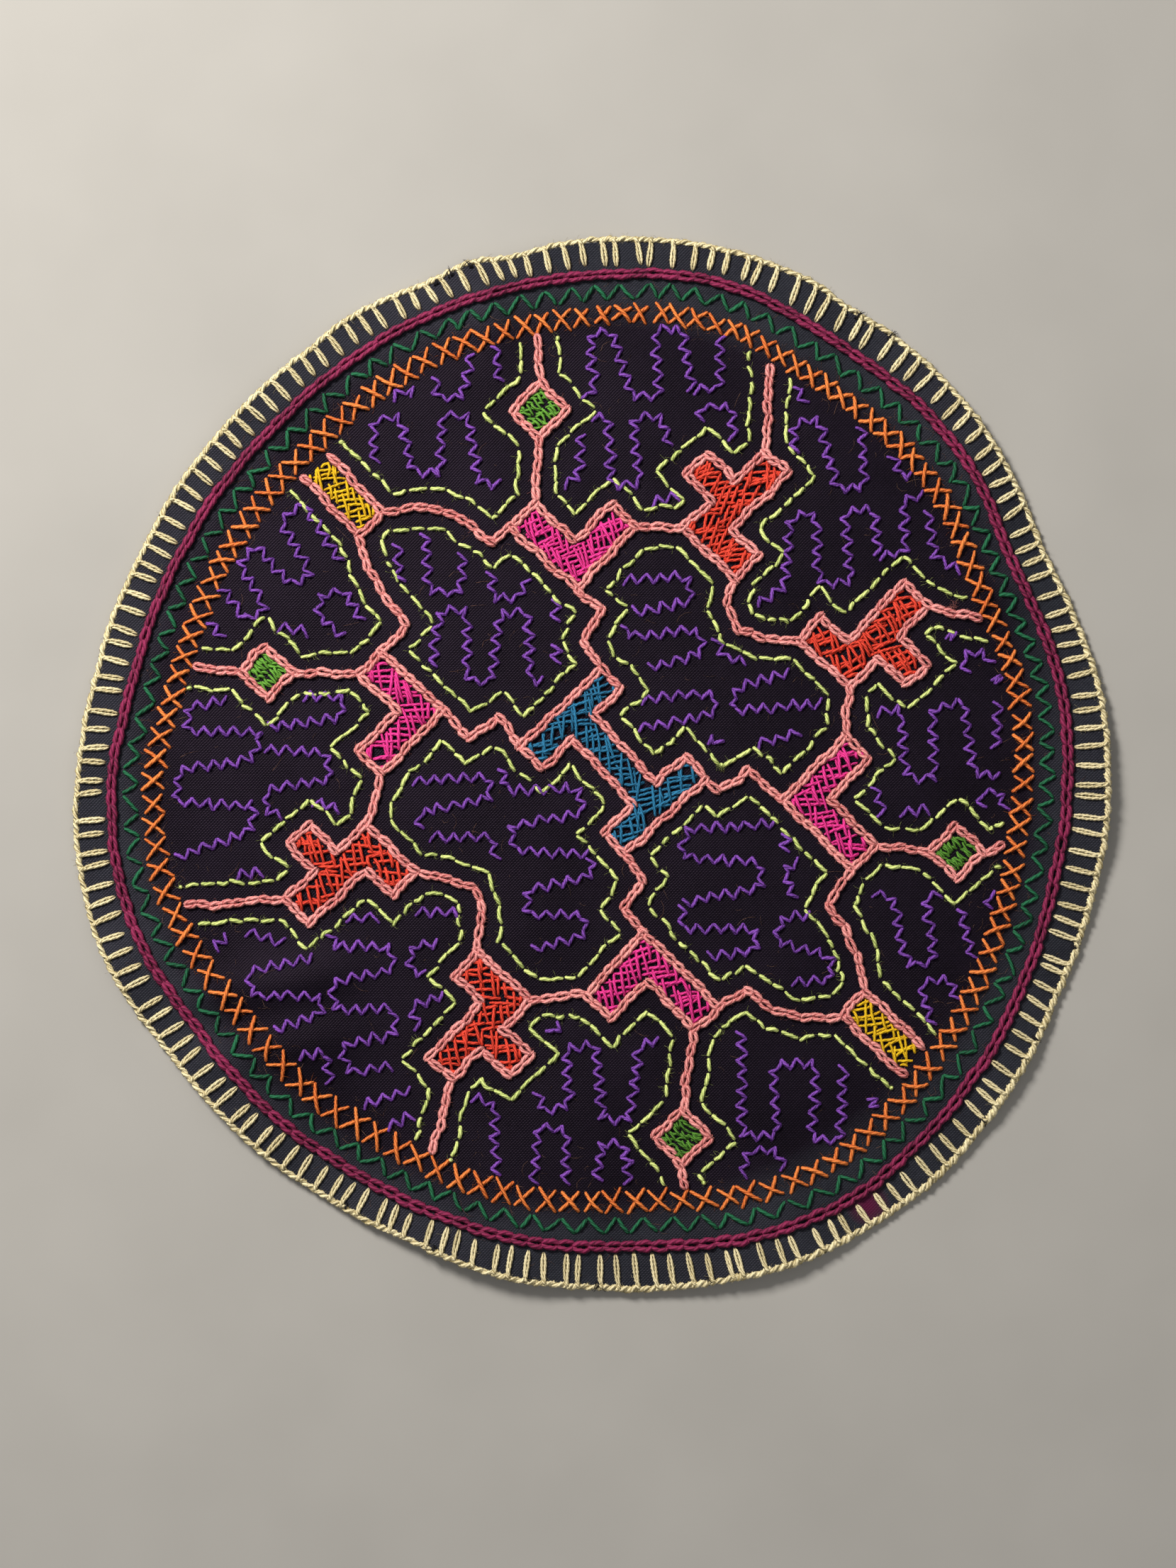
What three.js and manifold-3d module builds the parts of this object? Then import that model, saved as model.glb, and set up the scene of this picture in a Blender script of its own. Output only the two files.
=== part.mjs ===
// A round embroidered cloth, lying face up on a flat surface.
// A disc of black cotton twill, cut a little unevenly, carries raised embroidery: a blanket-stitched edge,
// three ringed borders, and a maze of chain-stitched lines around filled blocks of colour.
// Millimetres, +Z up. The cloth's underside lies on z = 0 and its outline is centred on the Z axis.

import * as THREE from 'three';
import { mergeVertices } from 'three/addons/utils/BufferGeometryUtils.js';
import Module from 'manifold-3d';

const wasm = await Module();
wasm.setup();

// Driving dimensions
const CLOTH_RADIUS = 145.8;
const CLOTH_THICKNESS = 1.2;
const GAP = 0.3;
const YARN_HEIGHT = 0.9;

// The cut outline is not a true circle: where it swells or draws in, in degrees and millimetres
const OUTLINE_LOBES = [
  { direction: 25, spread: 11, swell: -4.5 },
  { direction: 50, spread: 10, swell: 1.0 },
  { direction: 75, spread: 20, swell: 4.5 },
  { direction: 145, spread: 34, swell: -6.0 },
  { direction: 197, spread: 14, swell: 3.0 },
  { direction: 235, spread: 26, swell: -2.5 },
  { direction: 300, spread: 30, swell: 7.0 },
];

// Soft folds that lift the rim off the surface, each from its start radius out to the edge
const RIM_FOLDS = [
  { direction: 40, spread: 9, start: 116, lift: 2.0 },
  { direction: 98, spread: 8, start: 116, lift: 2.2 },
  { direction: 133, spread: 12, start: 112, lift: 2.6 },
  { direction: 178, spread: 10, start: 118, lift: 1.6 },
  { direction: 203, spread: 6, start: 104, lift: 2.4 },
  { direction: 225, spread: 8, start: 100, lift: 3.0 },
  { direction: 256, spread: 14, start: 106, lift: 4.6 },
  { direction: 288, spread: 9, start: 112, lift: 3.2 },
  { direction: 322, spread: 8, start: 118, lift: 1.8 },
  { direction: 357, spread: 12, start: 112, lift: 3.2 },
];

// Cloth mesh: sectors around, and the rows from the middle out as shares of the radius
const CLOTH_SECTORS = 96;
const CLOTH_ROWS = [0.36, 0.66, 0.72, 0.78, 0.84, 0.9, 0.95, 1];

// Borders, each measured inwards from the cut edge
const EDGE_LEGS = 178;
const EDGE_LEG_CLEARANCE = 0.8;
const EDGE_LEG_WIDTH = 2.1;
const EDGE_LEG_UNEVEN = { pitchShare: 0.16, pitchTurn: 2.4, length: 0.4, lengthTurn: 1.7 };
const EDGE_PURL_WIDTH = 1.7;
const CHAIN_RING_INSET = 9.5;
const CHAIN_RING_STEPS = 120;
const CHAIN_WIDTH = 3.0;
const ZIGZAG_INSET = 14.6;
const ZIGZAG_REACH = 2.0;
const ZIGZAGS = 100;
const CROSS_INSET = 21.4;
const CROSS_REACH = 3.1;
const CROSSES = 130;
const STROKE_WIDTH = 1.1;
const STROKE_HEIGHT = 0.7;
const FIELD_INSET = 26.4;

// The ringed borders stray in and out together by these amounts, and each ring follows by its own share
const RING_STRAY = [
  { direction: -8, spread: 20, inwards: 1.7 },
  { direction: 32, spread: 13, inwards: -2.0 },
  { direction: 58, spread: 8, inwards: 0.9 },
  { direction: 76, spread: 9, inwards: -1.2 },
  { direction: 110, spread: 16, inwards: -1.4 },
  { direction: 145, spread: 12, inwards: -0.7 },
  { direction: 169, spread: 8, inwards: 1.1 },
  { direction: 181, spread: 6, inwards: -1.0 },
  { direction: 210, spread: 14, inwards: 1.5 },
  { direction: 230, spread: 6, inwards: -1.0 },
  { direction: 277, spread: 11, inwards: 3.0 },
  { direction: 300, spread: 7, inwards: -1.2 },
];
const CHAIN_STRAY_SHARE = 0.6;
const ZIGZAG_STRAY_SHARE = 0.9;

// Maze chart: its middle lies a little right of the outline's middle, and its axes run on the diagonals.
// u runs to the lower right and v to the upper right. One quarter is drawn and mirrored across both axes.
const CHART_MIDDLE = { x: 6.2, y: 0.3 };
const MAZE_STEP = 11;
const RING_SEARCH_STEP = 0.5;

// Strands that are fused keep their faces this far from lying in one plane
const FUSE_STEP = 0.05;
const MITRE_LIMIT = 1.9;

// Filled blocks as [u, v] corners
const BLOCKS = {
  blue: [
    [-21.5, -16], [-13, -16], [-13, -4.5], [13, -4.5], [13, -16], [21.5, -16],
    [21.5, 16], [13, 16], [13, 4.5], [-13, 4.5], [-13, 16], [-21.5, 16],
  ],
  magenta: [[-41.5, 27], [-66.6, 27], [-66.6, 36.5], [-51, 36.5], [-51, 52], [-41.5, 52]],
  red: [
    [-33, 62], [-13, 62], [-13, 71.5], [-23.5, 71.5], [-23.5, 94],
    [-33, 94], [-33, 82], [-44, 82], [-44, 73.5], [-33, 73.5],
  ],
  green: [[-91, 50], [-80, 50], [-80, 61], [-91, 61]],
};
const YELLOW_BAR = { inner: -96.5, halfWidth: 4.8 };

// Lines that join the blocks: the steps from the blue block to a magenta one, the two bends on the way from
// an elbow to the yellow bar, as u and a share of the elbow's v, and the dip between two red blocks
const BLUE_CORNER = [-21.5, 16];
const STAIR_STEPS = [[-30, 18.5], [-32, 28.5]];
const YELLOW_BENDS = [{ u: -88.5, share: 0.72 }, { u: -81, share: 0.92 }];
const RED_PAIR_DIP = [[-9, 55.2], [-2, 52.6], [4.3, 55.5]];

// No two quarters are sewn alike. For each: its mirroring, how far its stairs and blocks sit from the chart,
// how much longer its magenta arm is, the elbow, and the directions where two of its lines meet the border
const QUARTERS = [
  {
    mirror: [1, 1], stairs: [-0.5, -0.5], magenta: [0, 0], arm: 0, red: [0.5, 0], green: [0, 0],
    elbow: [-67, 20.5], greenEnd: 97, redEnd: 65.7,
  },
  {
    mirror: [-1, 1], stairs: [3.4, -2.6], magenta: [0, 0], arm: 3.8, red: [0.6, 0.4], green: [-2.1, -4.4],
    elbow: [-73, 15], greenEnd: -11.3, redEnd: 20.4,
  },
  {
    mirror: [-1, -1], stairs: [-0.7, -1.5], magenta: [0, 0.5], arm: 2.8, red: [1.8, 2.5], green: [-3.9, 5.8],
    elbow: [-71.5, 18.5], greenEnd: -77.5, redEnd: 247.9,
  },
  {
    mirror: [1, -1], stairs: [-1.8, -4], magenta: [-3.3, -3.2], arm: 0, red: [-4.3, -1], green: [-2.2, -3.5],
    elbow: [-70, 12.7], greenEnd: 166.5, redEnd: 199.4,
  },
];

// Hand-sewn lines wander by less than a millimetre, in long and short waves that start at these phases
const WANDER = { long: 0.7, longWave: 16, short: 0.35, shortWave: 8.5 };
const WANDER_PHASE = { xLong: 0.6, xShort: 2.1, yLong: 1.9, yShort: 0.3 };

const COLOURS = {
  cloth: 0x1c1922,
  pale_yellow: 0xe2d592,
  burgundy: 0x7f1d53,
  dark_green: 0x1b6446,
  orange: 0xe86a2a,
  pink: 0xdd7c7a,
  blue: 0x1d6c95,
  magenta: 0xd41a82,
  red: 0xd4321e,
  green: 0x55952f,
  yellow: 0xd6a316,
};
const YARN_ROUGHNESS = 0.85;
const CLOTH_ROUGHNESS = 0.95;

// The cloth's shape

const degrees = (x, y) => THREE.MathUtils.radToDeg(Math.atan2(y, x));
const onRing = (angle, radius) => {
  const turn = THREE.MathUtils.degToRad(angle);
  return new THREE.Vector2(radius * Math.cos(turn), radius * Math.sin(turn));
};

// Share of a lobe or fold that is felt at an angle, falling off to each side of its direction
function felt(angle, { direction, spread }) {
  const away = THREE.MathUtils.euclideanModulo(angle - direction + 180, 360) - 180;
  return Math.exp(-((away / spread) ** 2));
}

function edgeRadius(angle) {
  return OUTLINE_LOBES.reduce((radius, lobe) => radius + lobe.swell * felt(angle, lobe), CLOTH_RADIUS);
}

// Radius of a ring that lies an inset from the cut edge and follows the borders' stray by a share
function ringRadius(angle, inset, share = 1) {
  const stray = RING_STRAY.reduce((sum, lobe) => sum + lobe.inwards * felt(angle, lobe), 0);
  return edgeRadius(angle) - inset - share * stray;
}

// Height of the cloth's underside: zero over the middle, rising softly along each rim fold
function underside(x, y) {
  const angle = degrees(x, y);
  const radius = Math.hypot(x, y);
  const edge = edgeRadius(angle);
  return RIM_FOLDS.reduce((height, fold) => {
    const rise = THREE.MathUtils.smoothstep(radius, fold.start, 2 * edge - fold.start);
    return height + 2 * rise * fold.lift * felt(angle, fold);
  }, 0);
}

const seat = (x, y) => underside(x, y) + CLOTH_THICKNESS + GAP;

// Mesh helpers

function geometryOf(positions, index) {
  const geometry = new THREE.BufferGeometry();
  geometry.setAttribute('position', new THREE.Float32BufferAttribute(positions, 3));
  geometry.setIndex(index);
  return geometry;
}

function finished(geometry, name, colour, roughness = YARN_ROUGHNESS) {
  geometry.computeVertexNormals();
  const material = new THREE.MeshStandardMaterial({ color: colour, roughness, metalness: 0 });
  const mesh = new THREE.Mesh(geometry, material);
  mesh.name = name;
  return mesh;
}

function signedVolume(positions, index) {
  const corner = (i) => new THREE.Vector3().fromArray(positions, 3 * index[i]);
  let volume = 0;
  for (let i = 0; i < index.length; i += 3) {
    volume += corner(i).dot(corner(i + 1).cross(corner(i + 2))) / 6;
  }
  return volume;
}

function facingOut(positions, index) {
  const outward = signedVolume(positions, index) > 0 ? index : index.slice().reverse();
  return geometryOf(positions, outward);
}

function solidOf(geometry) {
  const bare = geometry.clone();
  bare.deleteAttribute('normal');
  bare.deleteAttribute('uv');
  const merged = mergeVertices(bare, 1e-4);
  const vertProperties = new Float32Array(merged.attributes.position.array);
  const triVerts = new Uint32Array(merged.index.array);
  return new wasm.Manifold(new wasm.Mesh({ numProp: 3, vertProperties, triVerts }));
}

// One body out of many that overlap
function joined(geometries) {
  const solid = geometries.map(solidOf).reduce((whole, piece) => whole.add(piece));
  const { vertProperties, triVerts } = solid.getMesh();
  return geometryOf(Array.from(vertProperties), Array.from(triVerts));
}

// Yarn

// Points that break a path into steps no longer than a length, so that it can follow the cloth
function stepped(path, step, closed = false) {
  const ends = closed ? path.length : path.length - 1;
  const points = [];
  for (let i = 0; i < ends; i++) {
    const from = path[i];
    const to = path[(i + 1) % path.length];
    const parts = Math.ceil(from.distanceTo(to) / step);
    for (let k = 0; k < parts; k++) points.push(from.clone().lerp(to, k / parts));
  }
  if (!closed) points.push(path.at(-1).clone());
  return points;
}

// The sideways direction at a path's point, lengthened at a corner so that the strand keeps its width
function sideways(path, i, closed) {
  const last = path.length - 1;
  const before = path[i > 0 ? i - 1 : closed ? last : 0];
  const after = path[i < last ? i + 1 : closed ? 0 : last];
  const arriving = path[i].clone().sub(before).normalize();
  const leaving = after.clone().sub(path[i]).normalize();
  const along = arriving.add(leaving);
  const mitre = Math.min(2 / along.length(), MITRE_LIMIT);
  const width = i > 0 && i < last || closed ? mitre : 1;
  along.normalize();
  return new THREE.Vector2(-along.y, along.x).multiplyScalar(width);
}

// A strand laid on the cloth: a section of [across, up] corners swept along a path, raised where rise says
function strand(path, section, { closed = false, rise = () => 0 } = {}) {
  const sides = section.length;
  const positions = [];
  path.forEach((point, i) => {
    const across = sideways(path, i, closed);
    section.forEach(([side, up]) => {
      const x = point.x + across.x * side;
      const y = point.y + across.y * side;
      positions.push(x, y, seat(x, y) + up + rise(i));
    });
  });
  const index = [];
  const spans = closed ? path.length : path.length - 1;
  for (let i = 0; i < spans; i++) {
    const here = i * sides;
    const next = ((i + 1) % path.length) * sides;
    for (let k = 0; k < sides; k++) {
      const k1 = (k + 1) % sides;
      index.push(here + k, next + k, next + k1, here + k, next + k1, here + k1);
    }
  }
  if (!closed) {
    const end = spans * sides;
    for (let k = 1; k < sides - 1; k++) {
      index.push(0, k, k + 1);
      index.push(end, end + k + 1, end + k);
    }
  }
  return facingOut(positions, index);
}

const ridgeSection = (width, height) => [[-width / 2, 0], [width / 2, 0], [0, height]];
const flatSection = (width, height) => [
  [-width / 2, 0], [width / 2, 0], [width * 0.36, height], [-width * 0.36, height],
];

// The chart

function wandered({ x, y }) {
  const { long, longWave, short, shortWave } = WANDER;
  const { xLong, xShort, yLong, yShort } = WANDER_PHASE;
  return new THREE.Vector2(
    x + long * Math.sin(y / longWave + xLong) + short * Math.sin(x / shortWave + xShort),
    y + long * Math.sin(x / longWave + yLong) + short * Math.sin(y / shortWave + yShort),
  );
}

function charted([u, v]) {
  return wandered({
    x: CHART_MIDDLE.x + (u + v) * Math.SQRT1_2,
    y: CHART_MIDDLE.y + (v - u) * Math.SQRT1_2,
  });
}

function insideBorder(point) {
  return point.length() < ringRadius(degrees(point.x, point.y), FIELD_INSET);
}

const onBorder = (angle) => onRing(angle, ringRadius(angle, FIELD_INSET));

// A quarter of the maze: its blocks as chart corners, and its lines as paths on the cloth
function quarterOf({ mirror: [mu, mv], stairs, magenta, arm, red, green, elbow, greenEnd, redEnd }) {
  const placed = (corners, [du, dv] = [0, 0]) => corners.map(([u, v]) => [mu * (u + du), mv * (v + dv)]);
  const armEnd = Math.min(...BLOCKS.magenta.map(([u]) => u));
  const longArmed = BLOCKS.magenta.map(([u, v]) => [u === armEnd ? u - arm : u, v]);
  const blocks = {
    magenta: placed(longArmed, magenta),
    red: placed(BLOCKS.red, red),
    green: placed(BLOCKS.green, green),
  };
  const bends = YELLOW_BENDS.map(({ u, share }) => [u, share * elbow[1]]);
  const barCorner = [YELLOW_BAR.inner, YELLOW_BAR.halfWidth];
  const lines = [
    [...placed([BLUE_CORNER]), ...placed(STAIR_STEPS, stairs), blocks.magenta[0]].map(charted),
    [blocks.magenta[5], blocks.red[0]].map(charted),
    [blocks.magenta[2], blocks.green[1]].map(charted),
    [...placed([barCorner, ...bends, elbow]), blocks.magenta[1]].map(charted),
    [charted(blocks.green[3]), onBorder(greenEnd)],
    [charted(blocks.red[5]), onBorder(redEnd)],
  ];
  return { blocks, lines };
}

const quarters = QUARTERS.map(quarterOf);

// A closed outline drawn in by a distance, its corners kept sharp
function drawnIn(corners, distance) {
  const points = corners.map(([u, v]) => new THREE.Vector2(u, v));
  const turn = THREE.ShapeUtils.isClockWise(points) ? -1 : 1;
  return points.map((point, i) => {
    const before = points.at(i - 1);
    const after = points[(i + 1) % points.length];
    const arriving = point.clone().sub(before).normalize();
    const leaving = after.clone().sub(point).normalize();
    const inward = new THREE.Vector2(-arriving.y - leaving.y, arriving.x + leaving.x);
    inward.multiplyScalar((turn * distance) / (1 + arriving.dot(leaving)));
    return point.clone().add(inward).toArray();
  });
}

// A block of filling stitches: its outline drawn in from the chain around it
function blockPad(corners) {
  const shrunk = drawnIn(corners, CHAIN_WIDTH / 2 + GAP).map(charted);
  const outline = stepped(shrunk, MAZE_STEP, true);
  const options = { depth: YARN_HEIGHT, bevelEnabled: false };
  const geometry = new THREE.ExtrudeGeometry(new THREE.Shape(outline), options);
  const position = geometry.attributes.position;
  for (let i = 0; i < position.count; i++) {
    position.setZ(i, position.getZ(i) + seat(position.getX(i), position.getY(i)));
  }
  return geometry;
}

// Pieces

function cloth() {
  const positions = [0, 0, underside(0, 0), 0, 0, underside(0, 0) + CLOTH_THICKNESS];
  for (const share of CLOTH_ROWS) {
    for (let k = 0; k < CLOTH_SECTORS; k++) {
      const angle = (360 * k) / CLOTH_SECTORS;
      const { x, y } = onRing(angle, share * edgeRadius(angle));
      positions.push(x, y, underside(x, y), x, y, underside(x, y) + CLOTH_THICKNESS);
    }
  }
  const below = (row, k) => 2 + 2 * (row * CLOTH_SECTORS + (k % CLOTH_SECTORS));
  const above = (row, k) => below(row, k) + 1;
  const index = [];
  const last = CLOTH_ROWS.length - 1;
  for (let k = 0; k < CLOTH_SECTORS; k++) {
    index.push(0, below(0, k + 1), below(0, k));
    index.push(1, above(0, k), above(0, k + 1));
    for (let row = 0; row < last; row++) {
      const [a, b, c, d] = [[row, k], [row + 1, k], [row + 1, k + 1], [row, k + 1]];
      index.push(above(...a), above(...b), above(...c), above(...a), above(...c), above(...d));
      index.push(below(...a), below(...c), below(...b), below(...a), below(...d), below(...c));
    }
    index.push(below(last, k), below(last, k + 1), above(last, k + 1));
    index.push(below(last, k), above(last, k + 1), above(last, k));
  }
  return finished(facingOut(positions, index), 'cloth', COLOURS.cloth, CLOTH_ROUGHNESS);
}

// The purl of the blanket stitch runs round outside the cut edge, and each leg reaches in over the cloth
function edgeStitch() {
  const purlMiddle = GAP + EDGE_PURL_WIDTH / 2;
  const purlPath = Array.from({ length: CLOTH_SECTORS }, (_, k) => {
    const angle = (360 * k) / CLOTH_SECTORS;
    return onRing(angle, edgeRadius(angle) + purlMiddle);
  });
  const half = EDGE_PURL_WIDTH / 2;
  const low = -CLOTH_THICKNESS;
  const purlSection = [[-half, low], [half, low], [half, YARN_HEIGHT * 0.7], [-half, YARN_HEIGHT * 1.2]];
  const purl = strand(purlPath, purlSection, { closed: true });
  const legs = Array.from({ length: EDGE_LEGS }, (_, k) => {
    const { pitchShare, pitchTurn, length: stray, lengthTurn } = EDGE_LEG_UNEVEN;
    const angle = (360 * (k + pitchShare * Math.sin(pitchTurn * k))) / EDGE_LEGS;
    const tip = ringRadius(angle, CHAIN_RING_INSET, CHAIN_STRAY_SHARE) + CHAIN_WIDTH / 2 + EDGE_LEG_CLEARANCE;
    const shortfall = stray * Math.sin(lengthTurn * k);
    const path = [onRing(angle, edgeRadius(angle) + purlMiddle), onRing(angle, tip + shortfall)];
    return strand(path, ridgeSection(EDGE_LEG_WIDTH, YARN_HEIGHT * 0.95), { rise: () => FUSE_STEP });
  });
  return finished(joined([purl, ...legs]), 'edge_stitch', COLOURS.pale_yellow);
}

function chainRing() {
  const path = Array.from({ length: CHAIN_RING_STEPS }, (_, k) => {
    const angle = (360 * k) / CHAIN_RING_STEPS;
    return onRing(angle, ringRadius(angle, CHAIN_RING_INSET, CHAIN_STRAY_SHARE));
  });
  const geometry = strand(path, flatSection(CHAIN_WIDTH, YARN_HEIGHT), { closed: true });
  return finished(geometry, 'chain_ring', COLOURS.burgundy);
}

// A ring of strokes that swing in and out, starting outwards or inwards
function swinging(count, inset, reach, { startsOut = true, share = 1 } = {}) {
  return Array.from({ length: count }, (_, k) => {
    const angle = (360 * k) / count;
    const swing = (k % 2 === 0) === startsOut ? reach : -reach;
    return onRing(angle, ringRadius(angle, inset, share) + swing);
  });
}

function zigzagRing() {
  const path = swinging(2 * ZIGZAGS, ZIGZAG_INSET, ZIGZAG_REACH, { share: ZIGZAG_STRAY_SHARE });
  const geometry = strand(path, ridgeSection(STROKE_WIDTH, STROKE_HEIGHT), { closed: true });
  return finished(geometry, 'zigzag_ring', COLOURS.dark_green);
}

// The crosses are two rows of strokes: the lower row lies on the cloth and the upper row arches over it
function crossRows() {
  const section = ridgeSection(STROKE_WIDTH, STROKE_HEIGHT);
  const lower = strand(swinging(CROSSES, CROSS_INSET, CROSS_REACH), section, { closed: true });
  const tips = swinging(CROSSES, CROSS_INSET, CROSS_REACH, { startsOut: false });
  const arched = tips.flatMap((tip, k) => [tip, tip.clone().lerp(tips[(k + 1) % CROSSES], 0.5)]);
  const rise = (i) => (i % 2 === 1 ? STROKE_HEIGHT + 1.5 * GAP : 0);
  const upper = strand(arched, section, { closed: true, rise });
  return [
    finished(lower, 'cross_row_lower', COLOURS.orange),
    finished(upper, 'cross_row_upper', COLOURS.orange),
  ];
}

// The yellow bar stands on the border, so only three of its sides are sewn with chain
function yellowBarCorners(mirror) {
  const { inner, halfWidth } = YELLOW_BAR;
  let outer = inner;
  const fits = (u) => [1, -1].every((side) => insideBorder(charted([mirror * u, side * halfWidth])));
  while (fits(outer)) outer -= RING_SEARCH_STEP;
  const corners = [[outer, halfWidth], [inner, halfWidth], [inner, -halfWidth], [outer, -halfWidth]];
  return corners.map(([u, v]) => [mirror * u, v]);
}

function mazeLine() {
  const loopSection = flatSection(CHAIN_WIDTH, YARN_HEIGHT);
  const linkSection = flatSection(CHAIN_WIDTH - 2 * FUSE_STEP, YARN_HEIGHT - 2 * FUSE_STEP);
  const rise = () => FUSE_STEP;
  const loop = (corners) => {
    const path = stepped(corners.map(charted), MAZE_STEP, true);
    return strand(path, loopSection, { closed: true });
  };
  const link = (path) => strand(stepped(path, MAZE_STEP), linkSection, { rise });
  const pieces = [loop(BLOCKS.blue)];
  for (const { blocks, lines } of quarters) {
    pieces.push(...Object.values(blocks).map(loop), ...lines.map(link));
  }
  const [top, right, bottom, left] = quarters.map(({ blocks }) => blocks.red[1]);
  const dip = (side) => RED_PAIR_DIP.map(([u, v]) => [u, side * v]);
  pieces.push(link([top, ...dip(1), right].map(charted)), link([left, ...dip(-1), bottom].map(charted)));
  for (const mirror of [1, -1]) {
    pieces.push(strand(stepped(yellowBarCorners(mirror).map(charted), MAZE_STEP), loopSection));
  }
  return finished(joined(pieces), 'maze_line', COLOURS.pink);
}

function blockPads() {
  const pads = [finished(blockPad(BLOCKS.blue), 'block_blue', COLOURS.blue)];
  quarters.forEach(({ blocks }, k) => {
    for (const [name, corners] of Object.entries(blocks)) {
      pads.push(finished(blockPad(corners), `block_${name}_${k + 1}`, COLOURS[name]));
    }
  });
  [1, -1].forEach((mirror, k) => {
    pads.push(finished(blockPad(yellowBarCorners(mirror)), `block_yellow_${k + 1}`, COLOURS.yellow));
  });
  return pads;
}

const tapestry = new THREE.Group();
tapestry.add(cloth(), edgeStitch(), chainRing(), zigzagRing(), ...crossRows(), mazeLine(), ...blockPads());

export default tapestry;
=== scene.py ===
import math

import bpy
import numpy as np
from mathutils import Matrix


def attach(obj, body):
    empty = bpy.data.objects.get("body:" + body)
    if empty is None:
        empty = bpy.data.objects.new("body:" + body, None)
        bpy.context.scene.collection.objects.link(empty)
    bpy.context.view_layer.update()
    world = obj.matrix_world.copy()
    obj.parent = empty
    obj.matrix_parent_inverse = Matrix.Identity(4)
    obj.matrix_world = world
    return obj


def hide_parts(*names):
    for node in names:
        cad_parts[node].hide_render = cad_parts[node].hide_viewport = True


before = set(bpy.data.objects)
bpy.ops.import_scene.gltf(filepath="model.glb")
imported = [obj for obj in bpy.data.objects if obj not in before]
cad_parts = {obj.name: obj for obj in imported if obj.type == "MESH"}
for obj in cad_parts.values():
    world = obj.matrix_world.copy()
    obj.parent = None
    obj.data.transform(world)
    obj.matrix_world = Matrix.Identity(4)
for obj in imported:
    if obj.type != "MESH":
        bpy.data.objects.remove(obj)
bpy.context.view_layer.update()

# A round embroidered cloth: every stitch is its own length of yarn, laid on the cloth's folds.
# Sizes are in millimetres and angles in degrees, as in the part. Meshes are written in metres.
MM = 0.001
rng = np.random.default_rng(41)

# The cloth
CLOTH_RADIUS = 145.8
CLOTH_THICKNESS = 1.2
CLOTH_GRID = 136

# The cloth puffs up between sewn lines, less towards the borders, and has a faint ripple all over
CELL_PUFF = 0.55
CELL_PUFF_REACH = 13.0
PUFF_FADE_START = 112
PUFF_FADE_WIDTH = 14
RIPPLE = 0.12
RIPPLE_WAVE = 7
RIPPLE_BEND_WAVE = 19

# Where the cut outline swells or draws in: direction, spread, swell
OUTLINE_LOBES = [
    (25, 11, -4.5),
    (50, 10, 1.0),
    (75, 20, 4.5),
    (145, 34, -6.0),
    (197, 14, 3.0),
    (235, 26, -2.5),
    (300, 30, 7.0),
]

# Small nicks and bumps of the hand-cut edge, finer than the part's outline: direction, spread, swell
EDGE_NICKS = [
    (14, 4, -0.5),
    (31, 4, 0.5),
    (60, 3, -0.6),
    (66, 4, 0.6),
    (98.5, 4, -1.2),
    (104, 3, 0.9),
    (108, 3, -0.7),
    (119, 4, 0.8),
    (124, 3, -0.6),
    (146, 5, 0.5),
    (170, 4, -0.5),
    (186, 4, 0.5),
    (214, 5, -0.5),
    (232, 4, 0.6),
    (249, 4, -0.6),
    (262, 5, 0.6),
    (285, 4, -0.5),
    (310, 5, 0.5),
    (333, 4, -0.6),
    (352, 4, 0.5),
]

# Soft folds that lift the rim: direction, spread, radius where the fold starts, lift
RIM_FOLDS = [
    (40, 9, 116, 2.0),
    (98, 8, 116, 2.2),
    (133, 12, 112, 2.6),
    (178, 10, 118, 1.6),
    (203, 6, 104, 2.4),
    (225, 8, 100, 3.0),
    (256, 14, 106, 4.6),
    (288, 9, 112, 3.2),
    (322, 8, 118, 1.8),
    (357, 12, 112, 3.2),
]

# Soft creases across the cloth: from, to, how far to one side the ridge lies, its width and height
CREASES = [
    ((-124, -78), (-58, -66), 9, 7, 2.0),
    ((-124, -78), (-58, -66), -9, 8, 1.7),
    ((136, 62), (90, 43), 5, 8, 1.3),
    ((-27, 142), (-20, 108), -5, 7, 1.2),
    ((132, -82), (98, -56), 6, 8, 1.1),
    ((-104, 86), (-70, 62), 5, 8, 1.0),
]
CREASE_FADE_IN = 18
CREASE_FADE_OUT = 24

# How finely paths are cut at the maze's border, and a radius far outside the cloth
BORDER_STEP = 0.4
FAR_OUT = 260.0

# Borders: distance inwards from the cut edge, share of the common stray that each ring follows, and where
# stitches crowd together (direction, spread, how much)
CHAIN_RING_INSET = 9.5
CHAIN_STRAY_SHARE = 0.65
ZIGZAG_INSET = 14.7
ZIGZAG_STRAY_SHARE = 0.9
ZIGZAG_REACH = 2.3
ZIGZAG_CROWDING = [(10, 32, 0.2), (88, 30, 0.14)]
ZIGZAGS = 109
CROSS_INSET = 21.2
CROSS_REACH = 3.0
CROSS_HALF_SHARE = 0.42
CROSS_CROWDING = [(70, 32, 0.18), (232, 40, -0.12)]
CROSSES = 130
FIELD_INSET = 25.3
EDGE_LEGS = 178
EDGE_LEG_CLEARANCE = 2.0

# Where the ringed borders stray together: direction, spread, how far inwards
RING_STRAY = [
    (-8, 20, 1.7),
    (32, 13, -2.0),
    (58, 8, 0.9),
    (76, 9, -1.2),
    (110, 16, -1.4),
    (145, 12, -0.7),
    (169, 8, 1.1),
    (181, 6, -1.0),
    (210, 14, 1.5),
    (230, 6, -1.0),
    (277, 11, 3.0),
    (300, 7, -1.2),
]

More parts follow.
